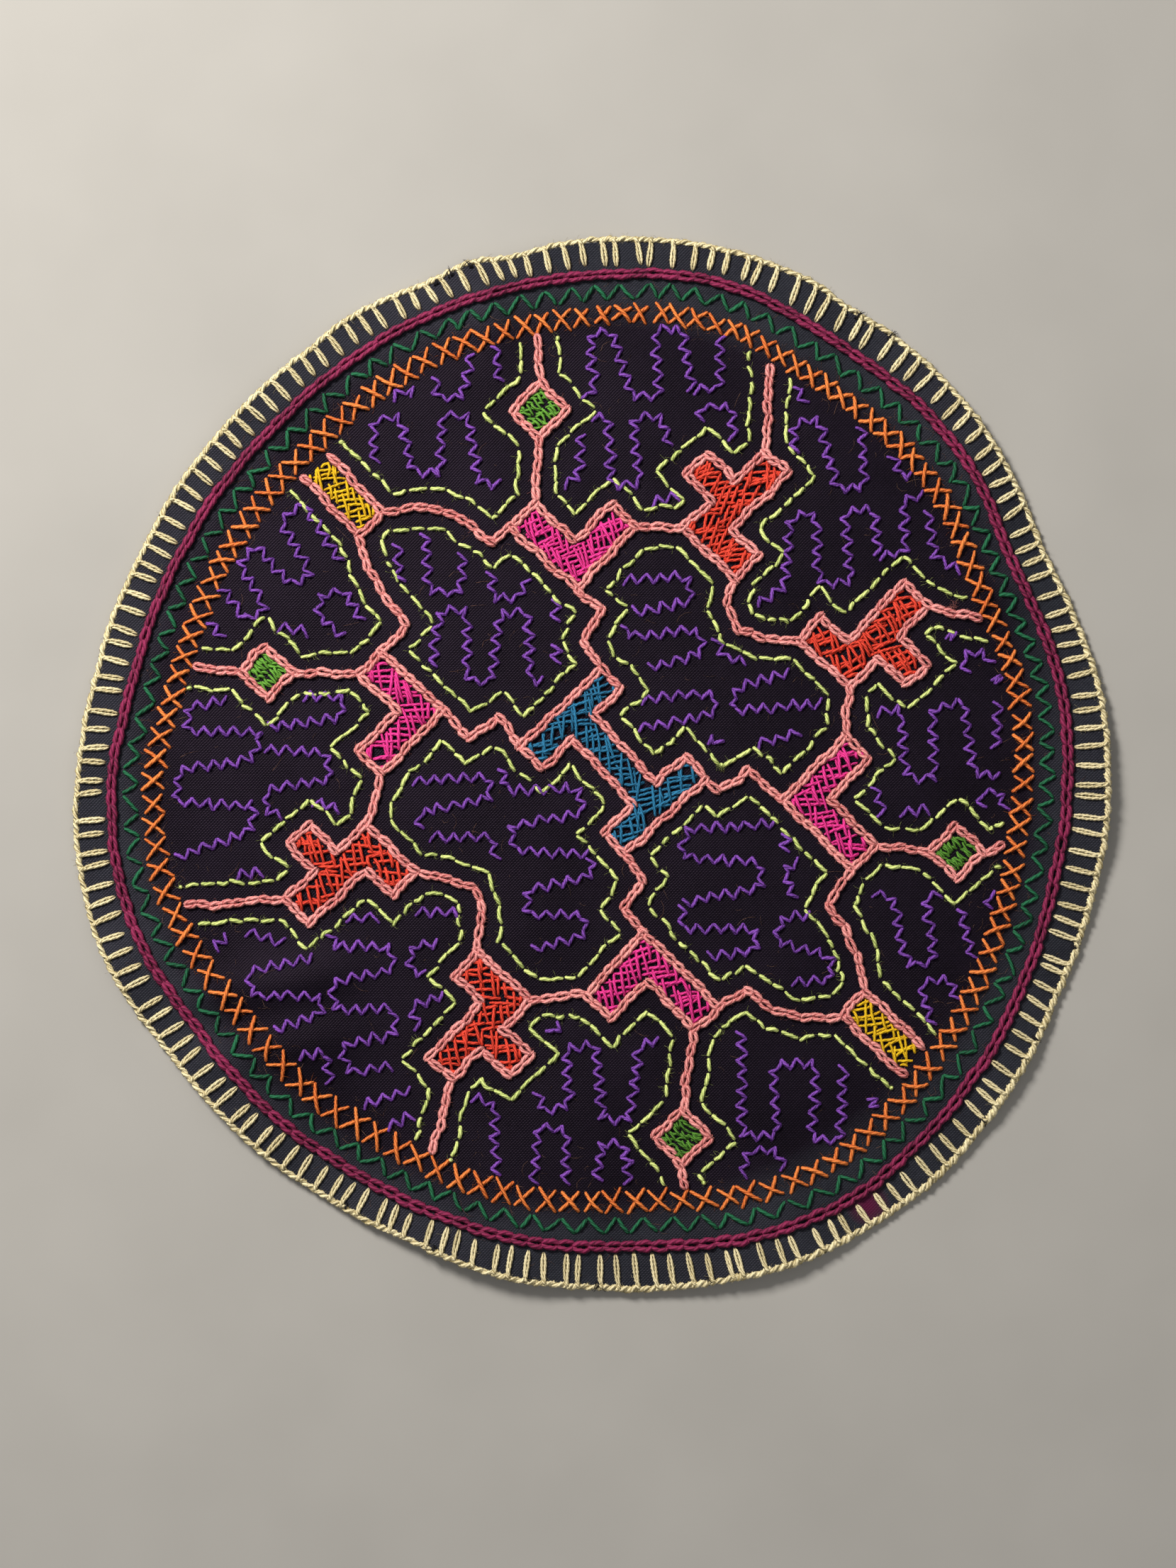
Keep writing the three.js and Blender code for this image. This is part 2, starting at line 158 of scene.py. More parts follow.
# The maze chart: u runs to the lower right, v to the upper right, and one quarter is mirrored across both
CHART_MIDDLE = (6.2, 0.3)
BLOCKS = {
    "blue": [
        (-21.5, -16), (-13, -16), (-13, -4.5), (13, -4.5), (13, -16), (21.5, -16),
        (21.5, 16), (13, 16), (13, 4.5), (-13, 4.5), (-13, 16), (-21.5, 16),
    ],
    "magenta": [(-41.5, 27), (-66.6, 27), (-66.6, 36.5), (-51, 36.5), (-51, 52), (-41.5, 52)],
    "red": [
        (-33, 62), (-13, 62), (-13, 71.5), (-23.5, 71.5), (-23.5, 94),
        (-33, 94), (-33, 82), (-44, 82), (-44, 73.5), (-33, 73.5),
    ],
    "green": [(-91, 50), (-80, 50), (-80, 61), (-91, 61)],
}
BAR_INNER = -96.5
BAR_OUTER = -140
BAR_HALF = 4.8
BLUE_NOTCH = [(-13, 4.5), (-13, 16)]
BLUE_CORNER = (-21.5, 16)
STAIR_STEPS = [(-30, 18.5), (-32, 28.5)]
YELLOW_BENDS = [(-88.5, 0.72), (-81, 0.92)]
RED_PAIR_DIP = [(-9, 55.2), (-2, 52.6), (4.3, 55.5)]

# No two quarters are sewn alike: how far each one's stairs and blocks sit from the chart, how much longer its
# magenta arm is, its elbow, and the directions where two of its lines meet the border
QUARTERS = [
    {
        "mirror": (1, 1), "stairs": (-0.5, -0.5), "magenta": (0, 0), "arm": 0, "red": (0.5, 0),
        "green": (0, 0), "elbow": (-67, 20.5), "green_end": 97, "red_end": 65.7,
    },
    {
        "mirror": (-1, 1), "stairs": (3.4, -2.6), "magenta": (0, 0), "arm": 3.8, "red": (0.6, 0.4),
        "green": (-2.1, -4.4), "elbow": (-73, 15), "green_end": -11.3, "red_end": 20.4,
    },
    {
        "mirror": (-1, -1), "stairs": (-0.7, -1.5), "magenta": (0, 0.5), "arm": 2.8, "red": (1.8, 2.5),
        "green": (-3.9, 5.8), "elbow": (-71.5, 18.5), "green_end": -77.5, "red_end": 247.9,
    },
    {
        "mirror": (1, -1), "stairs": (-1.8, -4), "magenta": (-3.3, -3.2), "arm": 0, "red": (-4.3, -1),
        "green": (-2.2, -3.5), "elbow": (-70, 12.7), "green_end": 166.5, "red_end": 199.4,
    },
]

# The purple lines that wind to and fro in each cell, charted by their turning points in whole millimetres
PURPLE_LINES = {
    "inner_upper_right": [
        [(9, 52), (28, 53), (29, 46), (12, 43)],
        [(10, 40), (10, 36), (31, 38), (32, 31), (16, 27)],
        [(36, 36), (37, 30), (45, 29)],
        [(14, 18), (35, 20), (36, 14), (13, 10)],
        [(57, 26), (41, 21), (40, 15), (66, 17)],
        [(33, 6), (34, 8), (37, 5)],
        [(47, 5), (60, 9)],
    ],
    "inner_lower_left": [
        [(-51, -5), (-29, -4), (-28, -10), (-49, -14), (-49, -19)],
        [(-46, -21), (-28, -21), (-27, -28)],
        [(-25, -1), (-24, -8), (-3, -7), (-2, -14), (-23, -18), (-21, -25), (0, -26)],
        [(0, -26), (1, -32), (-18, -36), (-18, -43), (-2, -43), (-1, -49), (-17, -53)],
    ],
    "inner_lower_right": [
        [(53, -17), (27, -19), (26, -27), (48, -28), (49, -35), (26, -40)],
        [(26, -40), (26, -47), (47, -47), (48, -53), (33, -55)],
        [(56, -20), (55, -25)],
        [(60, -28), (55, -30), (58, -39)],
        [(63, -43), (54, -44), (53, -51), (66, -54), (69, -56), (68, -62), (57, -62)],
    ],
    "inner_upper_left": [
        [(-55, 63), (-54, 51)],
        [(-47, 66), (-46, 49), (-37, 48), (-36, 60)],
        [(-28, 55), (-28, 47), (-20, 47), (-18, 53)],
        [(-45, 27), (-43, 43), (-35, 44), (-35, 24), (-28, 23), (-26, 43), (-18, 43), (-17, 23), (-13, 23)],
        [(-10, 47), (-10, 40)],
        [(-10, 34), (-10, 28)],
    ],
    "upper_left": [
        [(-57, 104), (-51, 107), (-50, 104)],
        [(-44, 110), (-44, 104), (-36, 104), (-34, 117)],
        [(-27, 119), (-26, 108)],
        [(-61, 85), (-62, 97), (-54, 99), (-51, 83), (-43, 82), (-42, 99), (-35, 99), (-32, 80), (-25, 79)],
    ],
    "top": [
        [(-3, 105), (1, 105), (0, 122), (6, 123), (12, 104), (20, 104), (18, 123), (26, 124), (29, 106)],
        [(29, 106), (37, 107), (37, 122)],
        [(-8, 79), (-3, 81), (-3, 94)],
        [(0, 99), (5, 98), (6, 79), (14, 79), (12, 98), (20, 99), (22, 90)],
        [(31, 97), (31, 101), (40, 102), (41, 92)],
        [(17, 74), (25, 76)],
    ],
    "upper_right": [
        [(58, 108), (61, 102)],
        [(58, 88), (58, 97), (65, 98), (70, 78), (78, 78), (77, 96)],
        [(86, 88), (88, 81), (92, 82)],
        [(47, 45), (55, 50), (57, 70), (64, 71), (65, 51), (74, 51), (72, 71), (80, 73), (82, 59)],
        [(82, 59), (90, 60), (89, 75), (95, 76)],
        [(96, 72), (98, 58), (106, 55)],
    ],
    "right": [
        [(101, 37), (104, 36)],
        [(107, 25), (106, 31), (112, 32), (114, 28)],
        [(115, 25), (117, 23)],
        [(81, 14), (88, 16), (90, -4), (98, -5), (97, 15), (106, 18), (109, -3), (117, -4)],
        [(116, 18), (115, 4)],
        [(81, -6), (83, -15)],
        [(88, -14), (97, -13)],
        [(111, -13), (110, -9), (117, -8), (118, -14)],
    ],
    "lower_right": [
        [(80, -37), (86, -38), (88, -50), (91, -58), (98, -56), (95, -38), (100, -37)],
        [(105, -41), (109, -56)],
        [(113, -42), (112, -38), (116, -37)],
        [(97, -75), (94, -62), (102, -61), (104, -68)],
    ],
    "bottom_right": [
        [(43, -76), (43, -106), (53, -106), (52, -86), (64, -85), (63, -107), (71, -107), (72, -86)],
        [(43, -118), (45, -110), (53, -110), (55, -116)],
        [(80, -95), (81, -98)],
    ],
    "bottom": [
        [(-12, -75), (-10, -77), (-8, -74)],
        [(-15, -93), (-14, -99), (-6, -98), (-7, -81), (2, -80), (3, -101), (11, -102), (14, -80), (20, -79)],
        [(-34, -95), (-27, -97), (-27, -117)],
        [(-16, -120), (-15, -103), (-7, -104), (-7, -120)],
        [(2, -119), (3, -108), (10, -108), (11, -120)],
    ],
    "lower_left": [
        [(-107, -53), (-103, -49)],
        [(-98, -48), (-87, -51)],
        [(-70, -44), (-60, -44)],
        [(-50, -42), (-37, -43)],
        [(-78, -55), (-97, -59), (-96, -66), (-77, -66), (-76, -71), (-90, -76)],
        [(-83, -83), (-75, -82), (-74, -91)],
        [(-74, -48), (-73, -52), (-57, -52), (-56, -59), (-73, -62), (-73, -70), (-56, -70)],
        [(-56, -70), (-55, -77), (-71, -80), (-69, -88), (-56, -86)],
        [(-65, -97), (-51, -93)],
        [(-58, -103), (-50, -100)],
        [(-43, -51), (-51, -52), (-51, -60), (-47, -60)],
        [(-41, -66), (-51, -69), (-49, -76)],
    ],
    "left": [
        [(-103, 18), (-115, 16), (-115, 9), (-93, 9), (-96, 1), (-117, -2), (-118, -11), (-96, -12)],
        [(-96, -12), (-96, -19), (-118, -27)],
        [(-82, 19), (-70, 19), (-71, 13), (-92, 10)],
        [(-93, 4), (-75, 3), (-74, -5), (-92, -7), (-92, -14), (-87, -15)],
        [(-79, -11), (-71, -13)],
        [(-101, -32), (-93, -31)],
    ],
    "left_upper": [
        [(-71, 57), (-82, 74), (-88, 69), (-79, 53), (-85, 51), (-95, 62), (-100, 57), (-92, 44), (-98, 41)],
        [(-98, 41), (-105, 50)],
        [(-70, 36), (-77, 41), (-77, 48), (-70, 49), (-65, 40)],
        [(-89, 39), (-80, 37)],
        [(-108, 41), (-105, 35)],
    ],
}

# How each block is filled, one row a block: direction and spacing of the first strokes, then of the second,
# and the tone from 0 dark to 1 bright
FILLS = {
    "blue": [(12, 1.7, 97, 1.9, 0.5)],
    "magenta": [
        (22, 1.4, 106, 1.5, 0.5), (10, 1.7, 104, 1.8, 0.5),
        (16, 1.8, 101, 1.9, 0.5), (4, 1.7, 97, 1.8, 0.5),
    ],
    "red": [
        (11, 1.5, 70, 1.7, 0.5), (22, 1.5, 112, 1.7, 0.5),
        (5, 1.9, 97, 2.0, 0.5), (4, 1.9, 100, 2.0, 0.5),
    ],
    "green": [
        (8, 1.3, -56, 1.4, 0.9), (-34, 1.1, -58, 1.3, 0.3),
        (-8, 1.2, -54, 1.3, 0.1), (-20, 1.2, -54, 1.3, 1.0),
    ],
    "yellow": [(11, 1.6, 99, 1.7, 0.5), (14, 1.7, 103, 1.8, 0.5)],
}
FILL_LONGEST = {"blue": 14.0, "magenta": 13.0, "red": 11.0, "green": 5.0, "yellow": 12.0}
FILL_LEAN = 0.09
FILL_TRIM = 1.1
FILL_FIRST = 0.6
FILL_CLEARANCE = 0.75
FILL_STRAY = 0.28

# Strokes are found in small steps: the fewest that make one, and the fewest for a full trim
HATCH_STEP = 0.2
HATCH_FEWEST = 8
HATCH_FULL_TRIM = 25

# Hand-sewn lines wander in long and short waves
WANDER_LONG = 0.7
WANDER_LONG_WAVE = 16
WANDER_SHORT = 0.35
WANDER_SHORT_WAVE = 8.5
WOBBLE = 0.3

# Yarns: half thickness, and how each stitch is spaced
PINK_YARN = 0.61
PINK_LINK = 3.6
PINK_HALF = 0.69
PINK_OVERLAP = 1.1
LINK_STRAY = 0.12
LINK_SETBACK = 0.1
RING_YARN = 0.72
RING_LINK = 4.4
RING_HALF = 0.85
RING_OVERLAP = 1.6
LIME_YARN = 0.54
LIME_PITCH = 4.5
LIME_GAP = 0.9
LIME_OFFSET = 5.5
LIME_PAST_FIELD = 0.4
PURPLE_YARN = 0.55
PURPLE_STEP = 2.1
PURPLE_SWING = 1.4
PURPLE_BEND = 2.75
PURPLE_FINE = 0.25
PURPLE_STRAY = 0.2
ORANGE_YARN = 0.54
GREEN_YARN = 0.55
EDGE_YARN = 0.46
PURL_YARN = 0.57
FILL_YARN = {"blue": 0.43, "magenta": 0.46, "red": 0.47, "green": 0.37, "yellow": 0.4}

# The yarn: plies, how deep the grooves between them are, degrees of twist a millimetre, and how far it is
# pressed wide and flat
PLIES = 3
PLY_DEPTH = 0.12
TWIST = 58
YARN_WIDE = 1.1
YARN_FLAT = 0.9
TUBE_SIDES = 6

# The edge stitching: how far a leg's strands lie from its middle, how far legs lean at random, where they
# all slope one way (direction, spread, how far), the purl's winding and where it is thicker
LEG_HALF = 0.48
LEG_LEAN = 0.4
LEG_SLOPE = (102, 16, -1.6)
LEG_RINGS = 10
PURL_REACH = 0.5
PURL_WIND = 0.38
PURL_SWELL = (315, 70, 0.32)
PURL_RINGS = 10
PURL_SINK = 0.2
KNOT_RINGS = 7
KNOT_SINK = 0.4
KNOT_RISE = 1.1
RIM_FACE_INSET = 1

# Loose fibres, drawn thicker than the real hundredths of a millimetre so that they show
FIBRE = 0.034
FIBRE_RINGS = 4
FIBRE_CURL = 2.2

# How many fibres stand off each yarn, and the longest of them
FUZZ = {
    "pale_yellow": (1000, 2.2),
    "purl": (1000, 2.0),
    "burgundy": (600, 1.8),
    "dark_green": (250, 1.8),
    "orange": (1300, 3.0),
    "pink": (3600, 2.2),
    "lime": (2600, 2.6),
    "purple": (500, 1.4),
    "blue": (150, 1.5),
    "magenta": (250, 1.5),
    "red": (350, 1.6),
    "green": (150, 1.4),
    "yellow": (150, 1.5),
}
TUFTS = [("lime", (37, -1)), ("pink", (103, 45))]
TUFT_FIBRES = 30
TUFT_LONGEST = 2.0
TUFT_SPREAD = 0.6
LINT_BY_RING = 600
LINT_ALL_OVER = 600
LINT_LONGEST = 6.0
LINT_RING_SPREAD = 4.0
LINT_INSET = 2.0

# Bundles of threads that have worked out of the cut edge: direction, length past the purl
FRAYS = [
    (59.2, 1.5),
    (54.9, 1.7),
    (103.5, 1.0),
    (106.0, 1.3),
    (107.8, 0.9),
    (241, 0.9),
    (252, 1.1),
    (263, 0.8),
    (271, 1.0),
    (283, 0.8),
    (318, 1.0),
    (328.1, 1.1),
    (339.3, 1.0),
]
FRAY_THREADS = 5
FRAY_YARN = 0.16
FRAY_RINGS = 9

# The cloth's finish: slant and spacing of its ribs, spacing of its threads, where the rim turns a lighter
# grey, and where dye has run
TWILL_SLANT = 45
TWILL_RIB = 0.65
TWILL_THREAD = 0.5
RIM_GREY_START = 124
RIM_GREY_END = 134
STAIN_PLACE = (79, -125.5)
STAIN_REACH = 8.5

# Studio lights: name, place, size and power, all in metres and watts
LIGHTS = [
    ("window_light", (-0.5, 0.57, 0.7), 0.28, 13.5),
    ("fill_light", (0.9, -0.5, 1.3), 1.2, 3),
]
LIGHT_COLOUR = "#fffaf2"
SKY_COLOUR = "#f2f1f0"
SKY_STRENGTH = 0.24
FLOOR_SIZE = 6

# The picture: pixels, pixels in a millimetre on the cloth, and where the cloth's middle lies in it
PHOTO_SIZE = (1659, 2212)
PHOTO_SCALE = 4.95
PHOTO_MIDDLE = (833, 1077)
CAMERA_HEIGHT = 0.8
SENSOR = 36


# The cloth's shape


def felt(angle, direction, spread):
    """How much is felt at each angle of something that lies in one direction."""
    away = (angle - direction + 180) % 360 - 180
    return np.exp(-((away / spread) ** 2))


def swells(angle, table, start=0):
    """The sum of a table's swells (direction, spread, amount) at each angle."""
    return sum((amount * felt(angle, direction, spread) for direction, spread, amount in table), start)


def edge_radius(angle):
    """Radius of the part's outline."""
    return swells(angle, OUTLINE_LOBES, CLOTH_RADIUS)


def cut_radius(angle):
    """Radius of the cut edge with its nicks."""
    return edge_radius(angle) + swells(angle, EDGE_NICKS)


def polar(points):
    """Direction and distance from the middle."""
    angle = np.degrees(np.arctan2(points[..., 1], points[..., 0]))
    return angle, np.hypot(points[..., 0], points[..., 1])


def on_ring(angle, radius):
    """Points at given directions and distances from the middle."""
    turn = np.radians(angle)
    return np.stack([radius * np.cos(turn), radius * np.sin(turn)], -1)


def smooth(value):
    """A soft step from 0 to 1."""
    share = np.clip(value, 0, 1)
    return share * share * (3 - 2 * share)


def rim_lift(points):
    """How high the folds lift the rim."""
    angle, radius = polar(points)
    edge = edge_radius(angle)
    height = np.zeros_like(radius)
    for direction, spread, start, lift in RIM_FOLDS:
        rise = smooth((radius - start) / (2 * (edge - start)))
        height += 2 * rise * lift * felt(angle, direction, spread)
    return height


def crease_lift(points):
    """How high the creases stand."""
    height = np.zeros(points.shape[:-1])
    for start, end, aside, width, lift in CREASES:
        start = np.array(start, float)
        run = np.array(end, float) - start
        length = np.hypot(*run)
        run /= length
        along = (points - start) @ run
        off = (points - start) @ np.array([-run[1], run[0]]) - aside
        fade = smooth(along / CREASE_FADE_IN) * smooth((length - along) / CREASE_FADE_OUT)
        height += lift * fade * np.exp(-((off / width) ** 2))
    return height


def distance_to(points, segments):
    """Distance from each point to the nearest of many straight segments."""
    flat = points.reshape(-1, 2)
    nearest = np.full(len(flat), 1e9)
    for start, end in segments:
        run = end - start
        share = np.clip((flat - start) @ run / max(run @ run, 1e-9), 0, 1)
        gap = np.hypot(*(flat - start - share[:, None] * run).T)
        nearest = np.minimum(nearest, gap)
    return nearest.reshape(points.shape[:-1])


def cloth_top(points):
    """Height of the cloth's face: its folds and creases, and the soft puff between the sewn lines."""
    puff = CELL_PUFF * (1 - np.exp(-((distance_to(points, maze_segments) / CELL_PUFF_REACH) ** 2)))
    _, radius = polar(points)
    puff *= 1 - smooth((radius - PUFF_FADE_START) / PUFF_FADE_WIDTH)
    bend = 2 * np.sin(points[..., 1] / RIPPLE_BEND_WAVE)
    ripple = RIPPLE * (1 + np.sin(points[..., 0] / RIPPLE_WAVE + bend))
    return CLOTH_THICKNESS + rim_lift(points) + crease_lift(points) + puff + ripple


# The chart


def charted(corners):
    """Chart corners as points on the cloth, with the hand's wander."""
    u, v = np.array(corners, float).T
    x = CHART_MIDDLE[0] + (u + v) / math.sqrt(2)
    y = CHART_MIDDLE[1] + (v - u) / math.sqrt(2)
    long_x = np.sin(y / WANDER_LONG_WAVE + 0.6)
    short_x = np.sin(x / WANDER_SHORT_WAVE + 2.1)
    long_y = np.sin(x / WANDER_LONG_WAVE + 1.9)
    short_y = np.sin(y / WANDER_SHORT_WAVE + 0.3)
    return np.stack(
        [
            x + WANDER_LONG * long_x + WANDER_SHORT * short_x,
            y + WANDER_LONG * long_y + WANDER_SHORT * short_y,
        ],
        -1,
    )


def ring_radius(angle, inset, share=1.0):
    """Radius of a ring that lies an inset from the cut edge and follows the borders' stray by a share."""
    return edge_radius(angle) - inset - share * swells(angle, RING_STRAY)


def on_border(angle):
    """The point where the field meets the borders in one direction."""
    return on_ring(np.array(angle), ring_radius(np.array(float(angle)), FIELD_INSET))


def within_border(points, inset):
    """Which points lie further in than an inset from the edge."""
    angle, radius = polar(points)
    return radius < ring_radius(angle, inset)


def cut_at_border(path, inset=FIELD_INSET):
    """The stretch of a path that lies inside the border."""
    fine = stepped(path, BORDER_STEP)
    first, last = np.flatnonzero(within_border(fine, inset))[[0, -1]]
    start = [fine[first]] if first > 0 else []
    end = [fine[last]] if last < len(fine) - 1 else []
    return np.array([*start, *path[within_border(path, inset)], *end])


def stepped(path, step):
    """Points along a path, no further apart than a step."""
    points = []
    for start, end in zip(path[:-1], path[1:]):
        count = max(1, math.ceil(np.hypot(*(end - start)) / step))
        share = np.arange(count)[:, None] / count
        points.append(start + (end - start) * share)
    return np.concatenate([*points, path[-1:]])


def closed(path):
    """A path that comes back to its start."""
    return np.concatenate([path, path[:1]])


def quarter_of(row):
    """A quarter of the maze as named points on the cloth."""
    side_u, side_v = row["mirror"]

    def placed(corners, shift=(0, 0)):
        return charted([(side_u * (u + shift[0]), side_v * (v + shift[1])) for u, v in corners])

    arm_end = min(u for u, _ in BLOCKS["magenta"])
    magenta = [(u - row["arm"] if u == arm_end else u, v) for u, v in BLOCKS["magenta"]]
    bends = [(u, share * row["elbow"][1]) for u, share in YELLOW_BENDS]
    bar_side = [(BAR_OUTER, BAR_HALF), (BAR_INNER, BAR_HALF)]
    return {
        "notch": placed(BLUE_NOTCH),
        "stairs": np.concatenate([placed([BLUE_CORNER]), placed(STAIR_STEPS, row["stairs"])]),
        "magenta": placed(magenta, row["magenta"]),
        "red": placed(BLOCKS["red"], row["red"]),
        "green": placed(BLOCKS["green"], row["green"]),
        "bar": cut_at_border(placed(bar_side)),
        "elbow": placed([*bends, row["elbow"]]),
        "green_end": on_border(row["green_end"]),
        "red_end": on_border(row["red_end"]),
    }


quarters = [quarter_of(row) for row in QUARTERS]
top, right, bottom, left = quarters
upper_dip = charted(RED_PAIR_DIP)
lower_dip = charted([(u, -v) for u, v in RED_PAIR_DIP])
bars = [np.concatenate([a["bar"], b["bar"][::-1]]) for a, b in ((top, left), (right, bottom))]


def maze_paths():
    """Every line of the maze, as paths on the cloth."""
    paths = [closed(charted(BLOCKS["blue"])), *bars]
    for quarter in quarters:
        magenta, red, green = (quarter[name] for name in ("magenta", "red", "green"))
        paths += [closed(magenta), closed(red), closed(green)]
        paths += [
            np.array([*quarter["stairs"], magenta[0]]),
            np.array([magenta[5], red[0]]),
            np.array([magenta[2], green[1]]),
            np.array([quarter["bar"][-1], *quarter["elbow"], magenta[1]]),
            np.array([green[3], quarter["green_end"]]),
            np.array([red[5], quarter["red_end"]]),
        ]
    paths.append(np.array([top["red"][1], *upper_dip, right["red"][1]]))
    paths.append(np.array([left["red"][1], *lower_dip, bottom["red"][1]]))
    return paths


def maze_cells():
    """The boundary of each cell of the maze, and whether the cell is open to the border."""
    cells = []

    def inner_side(quarter):
        magenta = quarter["magenta"]
        return [*quarter["stairs"], magenta[0], magenta[1], *quarter["elbow"][::-1], quarter["bar"][-1]]

    def waist_side(quarter):
        magenta, red = quarter["magenta"], quarter["red"]
        return [*quarter["notch"], *quarter["stairs"], magenta[0], magenta[5], red[0], red[1]]

    def red_side(quarter):
        return [quarter["red_end"], *quarter["red"][5:0:-1]]

    for first, second in ((top, left), (right, bottom)):
        cells.append(([*inner_side(first), *inner_side(second)[::-1]], False))
    for first, second, dip in ((top, right, upper_dip), (left, bottom, lower_dip)):
        cells.append(([*waist_side(first), *dip, *waist_side(second)[::-1]], False))
        cells.append(([*red_side(first), *dip, *red_side(second)[::-1]], True))
    for quarter in quarters:
        magenta, red, green = (quarter[name] for name in ("magenta", "red", "green"))
        bar_end = [*quarter["bar"], *quarter["elbow"], magenta[1], magenta[2]]
        cells.append(([*bar_end, green[1], green[0], green[3], quarter["green_end"]], True))
        outward = [quarter["green_end"], green[3], green[2], green[1], *magenta[2:6]]
        cells.append(([*outward, red[0], *red[9:4:-1], quarter["red_end"]], True))
    return [(np.array(path), is_open) for path, is_open in cells]


def segments_of(paths):
    """The straight runs of many paths, as pairs of ends."""
    return [(start, end) for path in paths for start, end in zip(path[:-1], path[1:])]


maze = maze_paths()
maze_segments = segments_of(maze)


# Yarn


def tubes(paths, radius, tone=None, sides=TUBE_SIDES, ply_depth=PLY_DEPTH):
    """Twisted yarn along paths with equal numbers of points, closed at both ends."""
    count, rings, _ = paths.shape
    radius = np.broadcast_to(np.asarray(radius, float), (count, rings))
    tangent = np.gradient(paths, axis=1)
    tangent /= np.linalg.norm(tangent, axis=2, keepdims=True) + 1e-9
    side = np.cross(tangent, [0.0, 0.0, 1.0])
    side /= np.linalg.norm(side, axis=2, keepdims=True) + 1e-9
    upward = np.cross(side, tangent)
    steps = np.linalg.norm(np.diff(paths, axis=1), axis=2)
    along = np.concatenate([np.zeros((count, 1)), np.cumsum(steps, 1)], 1)
    start_turn = rng.uniform(0, 2 * math.pi, (count, 1, 1))
    around = 2 * math.pi * np.arange(sides) / sides
    turn = around + np.radians(TWIST) * along[:, :, None] + start_turn
    reach = radius[:, :, None] * (1 + ply_depth * np.cos(PLIES * around))
    points = paths[:, :, None, :] + (reach * np.cos(turn) * YARN_WIDE)[..., None] * side[:, :, None, :]
    points = points + (reach * np.sin(turn) * YARN_FLAT)[..., None] * upward[:, :, None, :]

    ring, spoke = np.indices((rings - 1, sides)).reshape(2, -1)
    following = (spoke + 1) % sides
    here, ahead = ring * sides, (ring + 1) * sides
    quad = np.stack([here + spoke, ahead + spoke, ahead + following, here + following], -1)
    caps = np.stack([np.arange(sides), (rings - 1) * sides + np.arange(sides)[::-1]])
    base = (np.arange(count) * rings * sides)[:, None, None]
    quad_u = along[:, np.stack([ring, ring + 1, ring + 1, ring], -1)]
    quad_v = np.broadcast_to(np.stack([spoke, spoke, spoke + 1, spoke + 1], -1) / sides, quad_u.shape)
    quad_uv = np.stack([quad_u, quad_v], -1).reshape(-1, 2)
    shade = rng.uniform(0, 1, count) if tone is None else tone
    return {
        "paths": paths,
        "points": points.reshape(-1, 3),
        "loops": np.concatenate([(base + quad).ravel(), (base + caps).ravel()]),
        "sizes": np.concatenate([np.full(count * len(quad), 4), np.full(2 * count, sides)]),
        "uv": np.concatenate([quad_uv, np.zeros((2 * count * sides, 2))]),
        "tone": np.repeat(shade, rings * sides),
    }


def joined_mesh(name, batches, material, nodes=()):
    """One object out of many batches of tubes, standing for the nodes it replaces."""
    offset = np.cumsum([0] + [len(batch["points"]) for batch in batches])
    points = np.concatenate([batch["points"] for batch in batches]) * MM
    loops = np.concatenate([batch["loops"] + start for batch, start in zip(batches, offset)])
    sizes = np.concatenate([batch["sizes"] for batch in batches])
    uv = np.concatenate([batch["uv"] for batch in batches])
    mesh = bpy.data.meshes.new(name)
    mesh.vertices.add(len(points))
    mesh.vertices.foreach_set("co", points.ravel())
    mesh.loops.add(len(loops))
    mesh.loops.foreach_set("vertex_index", loops)
    mesh.polygons.add(len(sizes))
    mesh.polygons.foreach_set("loop_start", np.cumsum(sizes) - sizes)
    mesh.polygons.foreach_set("use_smooth", np.ones(len(sizes), bool))
    mesh.update(calc_edges=True)
    mesh.uv_layers.new(name="yarn").data.foreach_set("uv", uv.ravel())
    tone = mesh.attributes.new("tone", "FLOAT", "POINT")
    tone.data.foreach_set("value", np.concatenate([batch["tone"] for batch in batches]))
    mesh.validate()
    piece = bpy.data.objects.new(name, mesh)
    bpy.context.scene.collection.objects.link(piece)
    mesh.materials.append(material)
    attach(piece, "root")
    if nodes:
        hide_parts(*nodes)


def at_height(flat, height):
    """Points of the plan as points in space."""
    return np.concatenate([flat, height[..., None]], -1)


def laid(flat, rise):
    """Points of the plan as points in space, raised above the cloth's face."""
    return at_height(flat, cloth_top(flat) + rise)


def sideways(run):
    """The unit direction to the left of each run."""
    return np.stack([-run[..., 1], run[..., 0]], -1) / (np.linalg.norm(run, axis=-1, keepdims=True) + 1e-9)


def along_stitch(count):
    """Shares along a stitch, close together at both ends, where the yarn dives into the cloth."""
    return np.concatenate([[0, 0.035], np.linspace(0.1, 0.9, count - 4), [0.965, 1]])


def stitches(starts, ends, radius, count, stray, height=1.0, tone=None):
    """Straight stitches that rise out of the cloth, lie on it and dive back in, each at its own height."""
    total = len(starts)
    starts = starts + rng.normal(0, stray, starts.shape)
    ends = ends + rng.normal(0, stray, ends.shape)
    share = along_stitch(count)[None, :]
    run = ends - starts
    bow = rng.normal(0, stray, (total, 1)) * np.sin(math.pi * share)
    flat = starts[:, None] + run[:, None] * share[..., None] + sideways(run)[:, None] * bow[..., None]
    thick = radius * rng.uniform(0.88, 1.12, (total, 1))
    arch = np.sin(math.pi * share) ** 0.35
    crest = radius * (np.broadcast_to(height, (total,))[:, None] - 1)
    rise = thick * (1.5 * arch - 0.55) + crest * np.sin(math.pi * share)
    return tubes(laid(flat, rise), thick * (0.66 + 0.34 * arch), tone=tone)


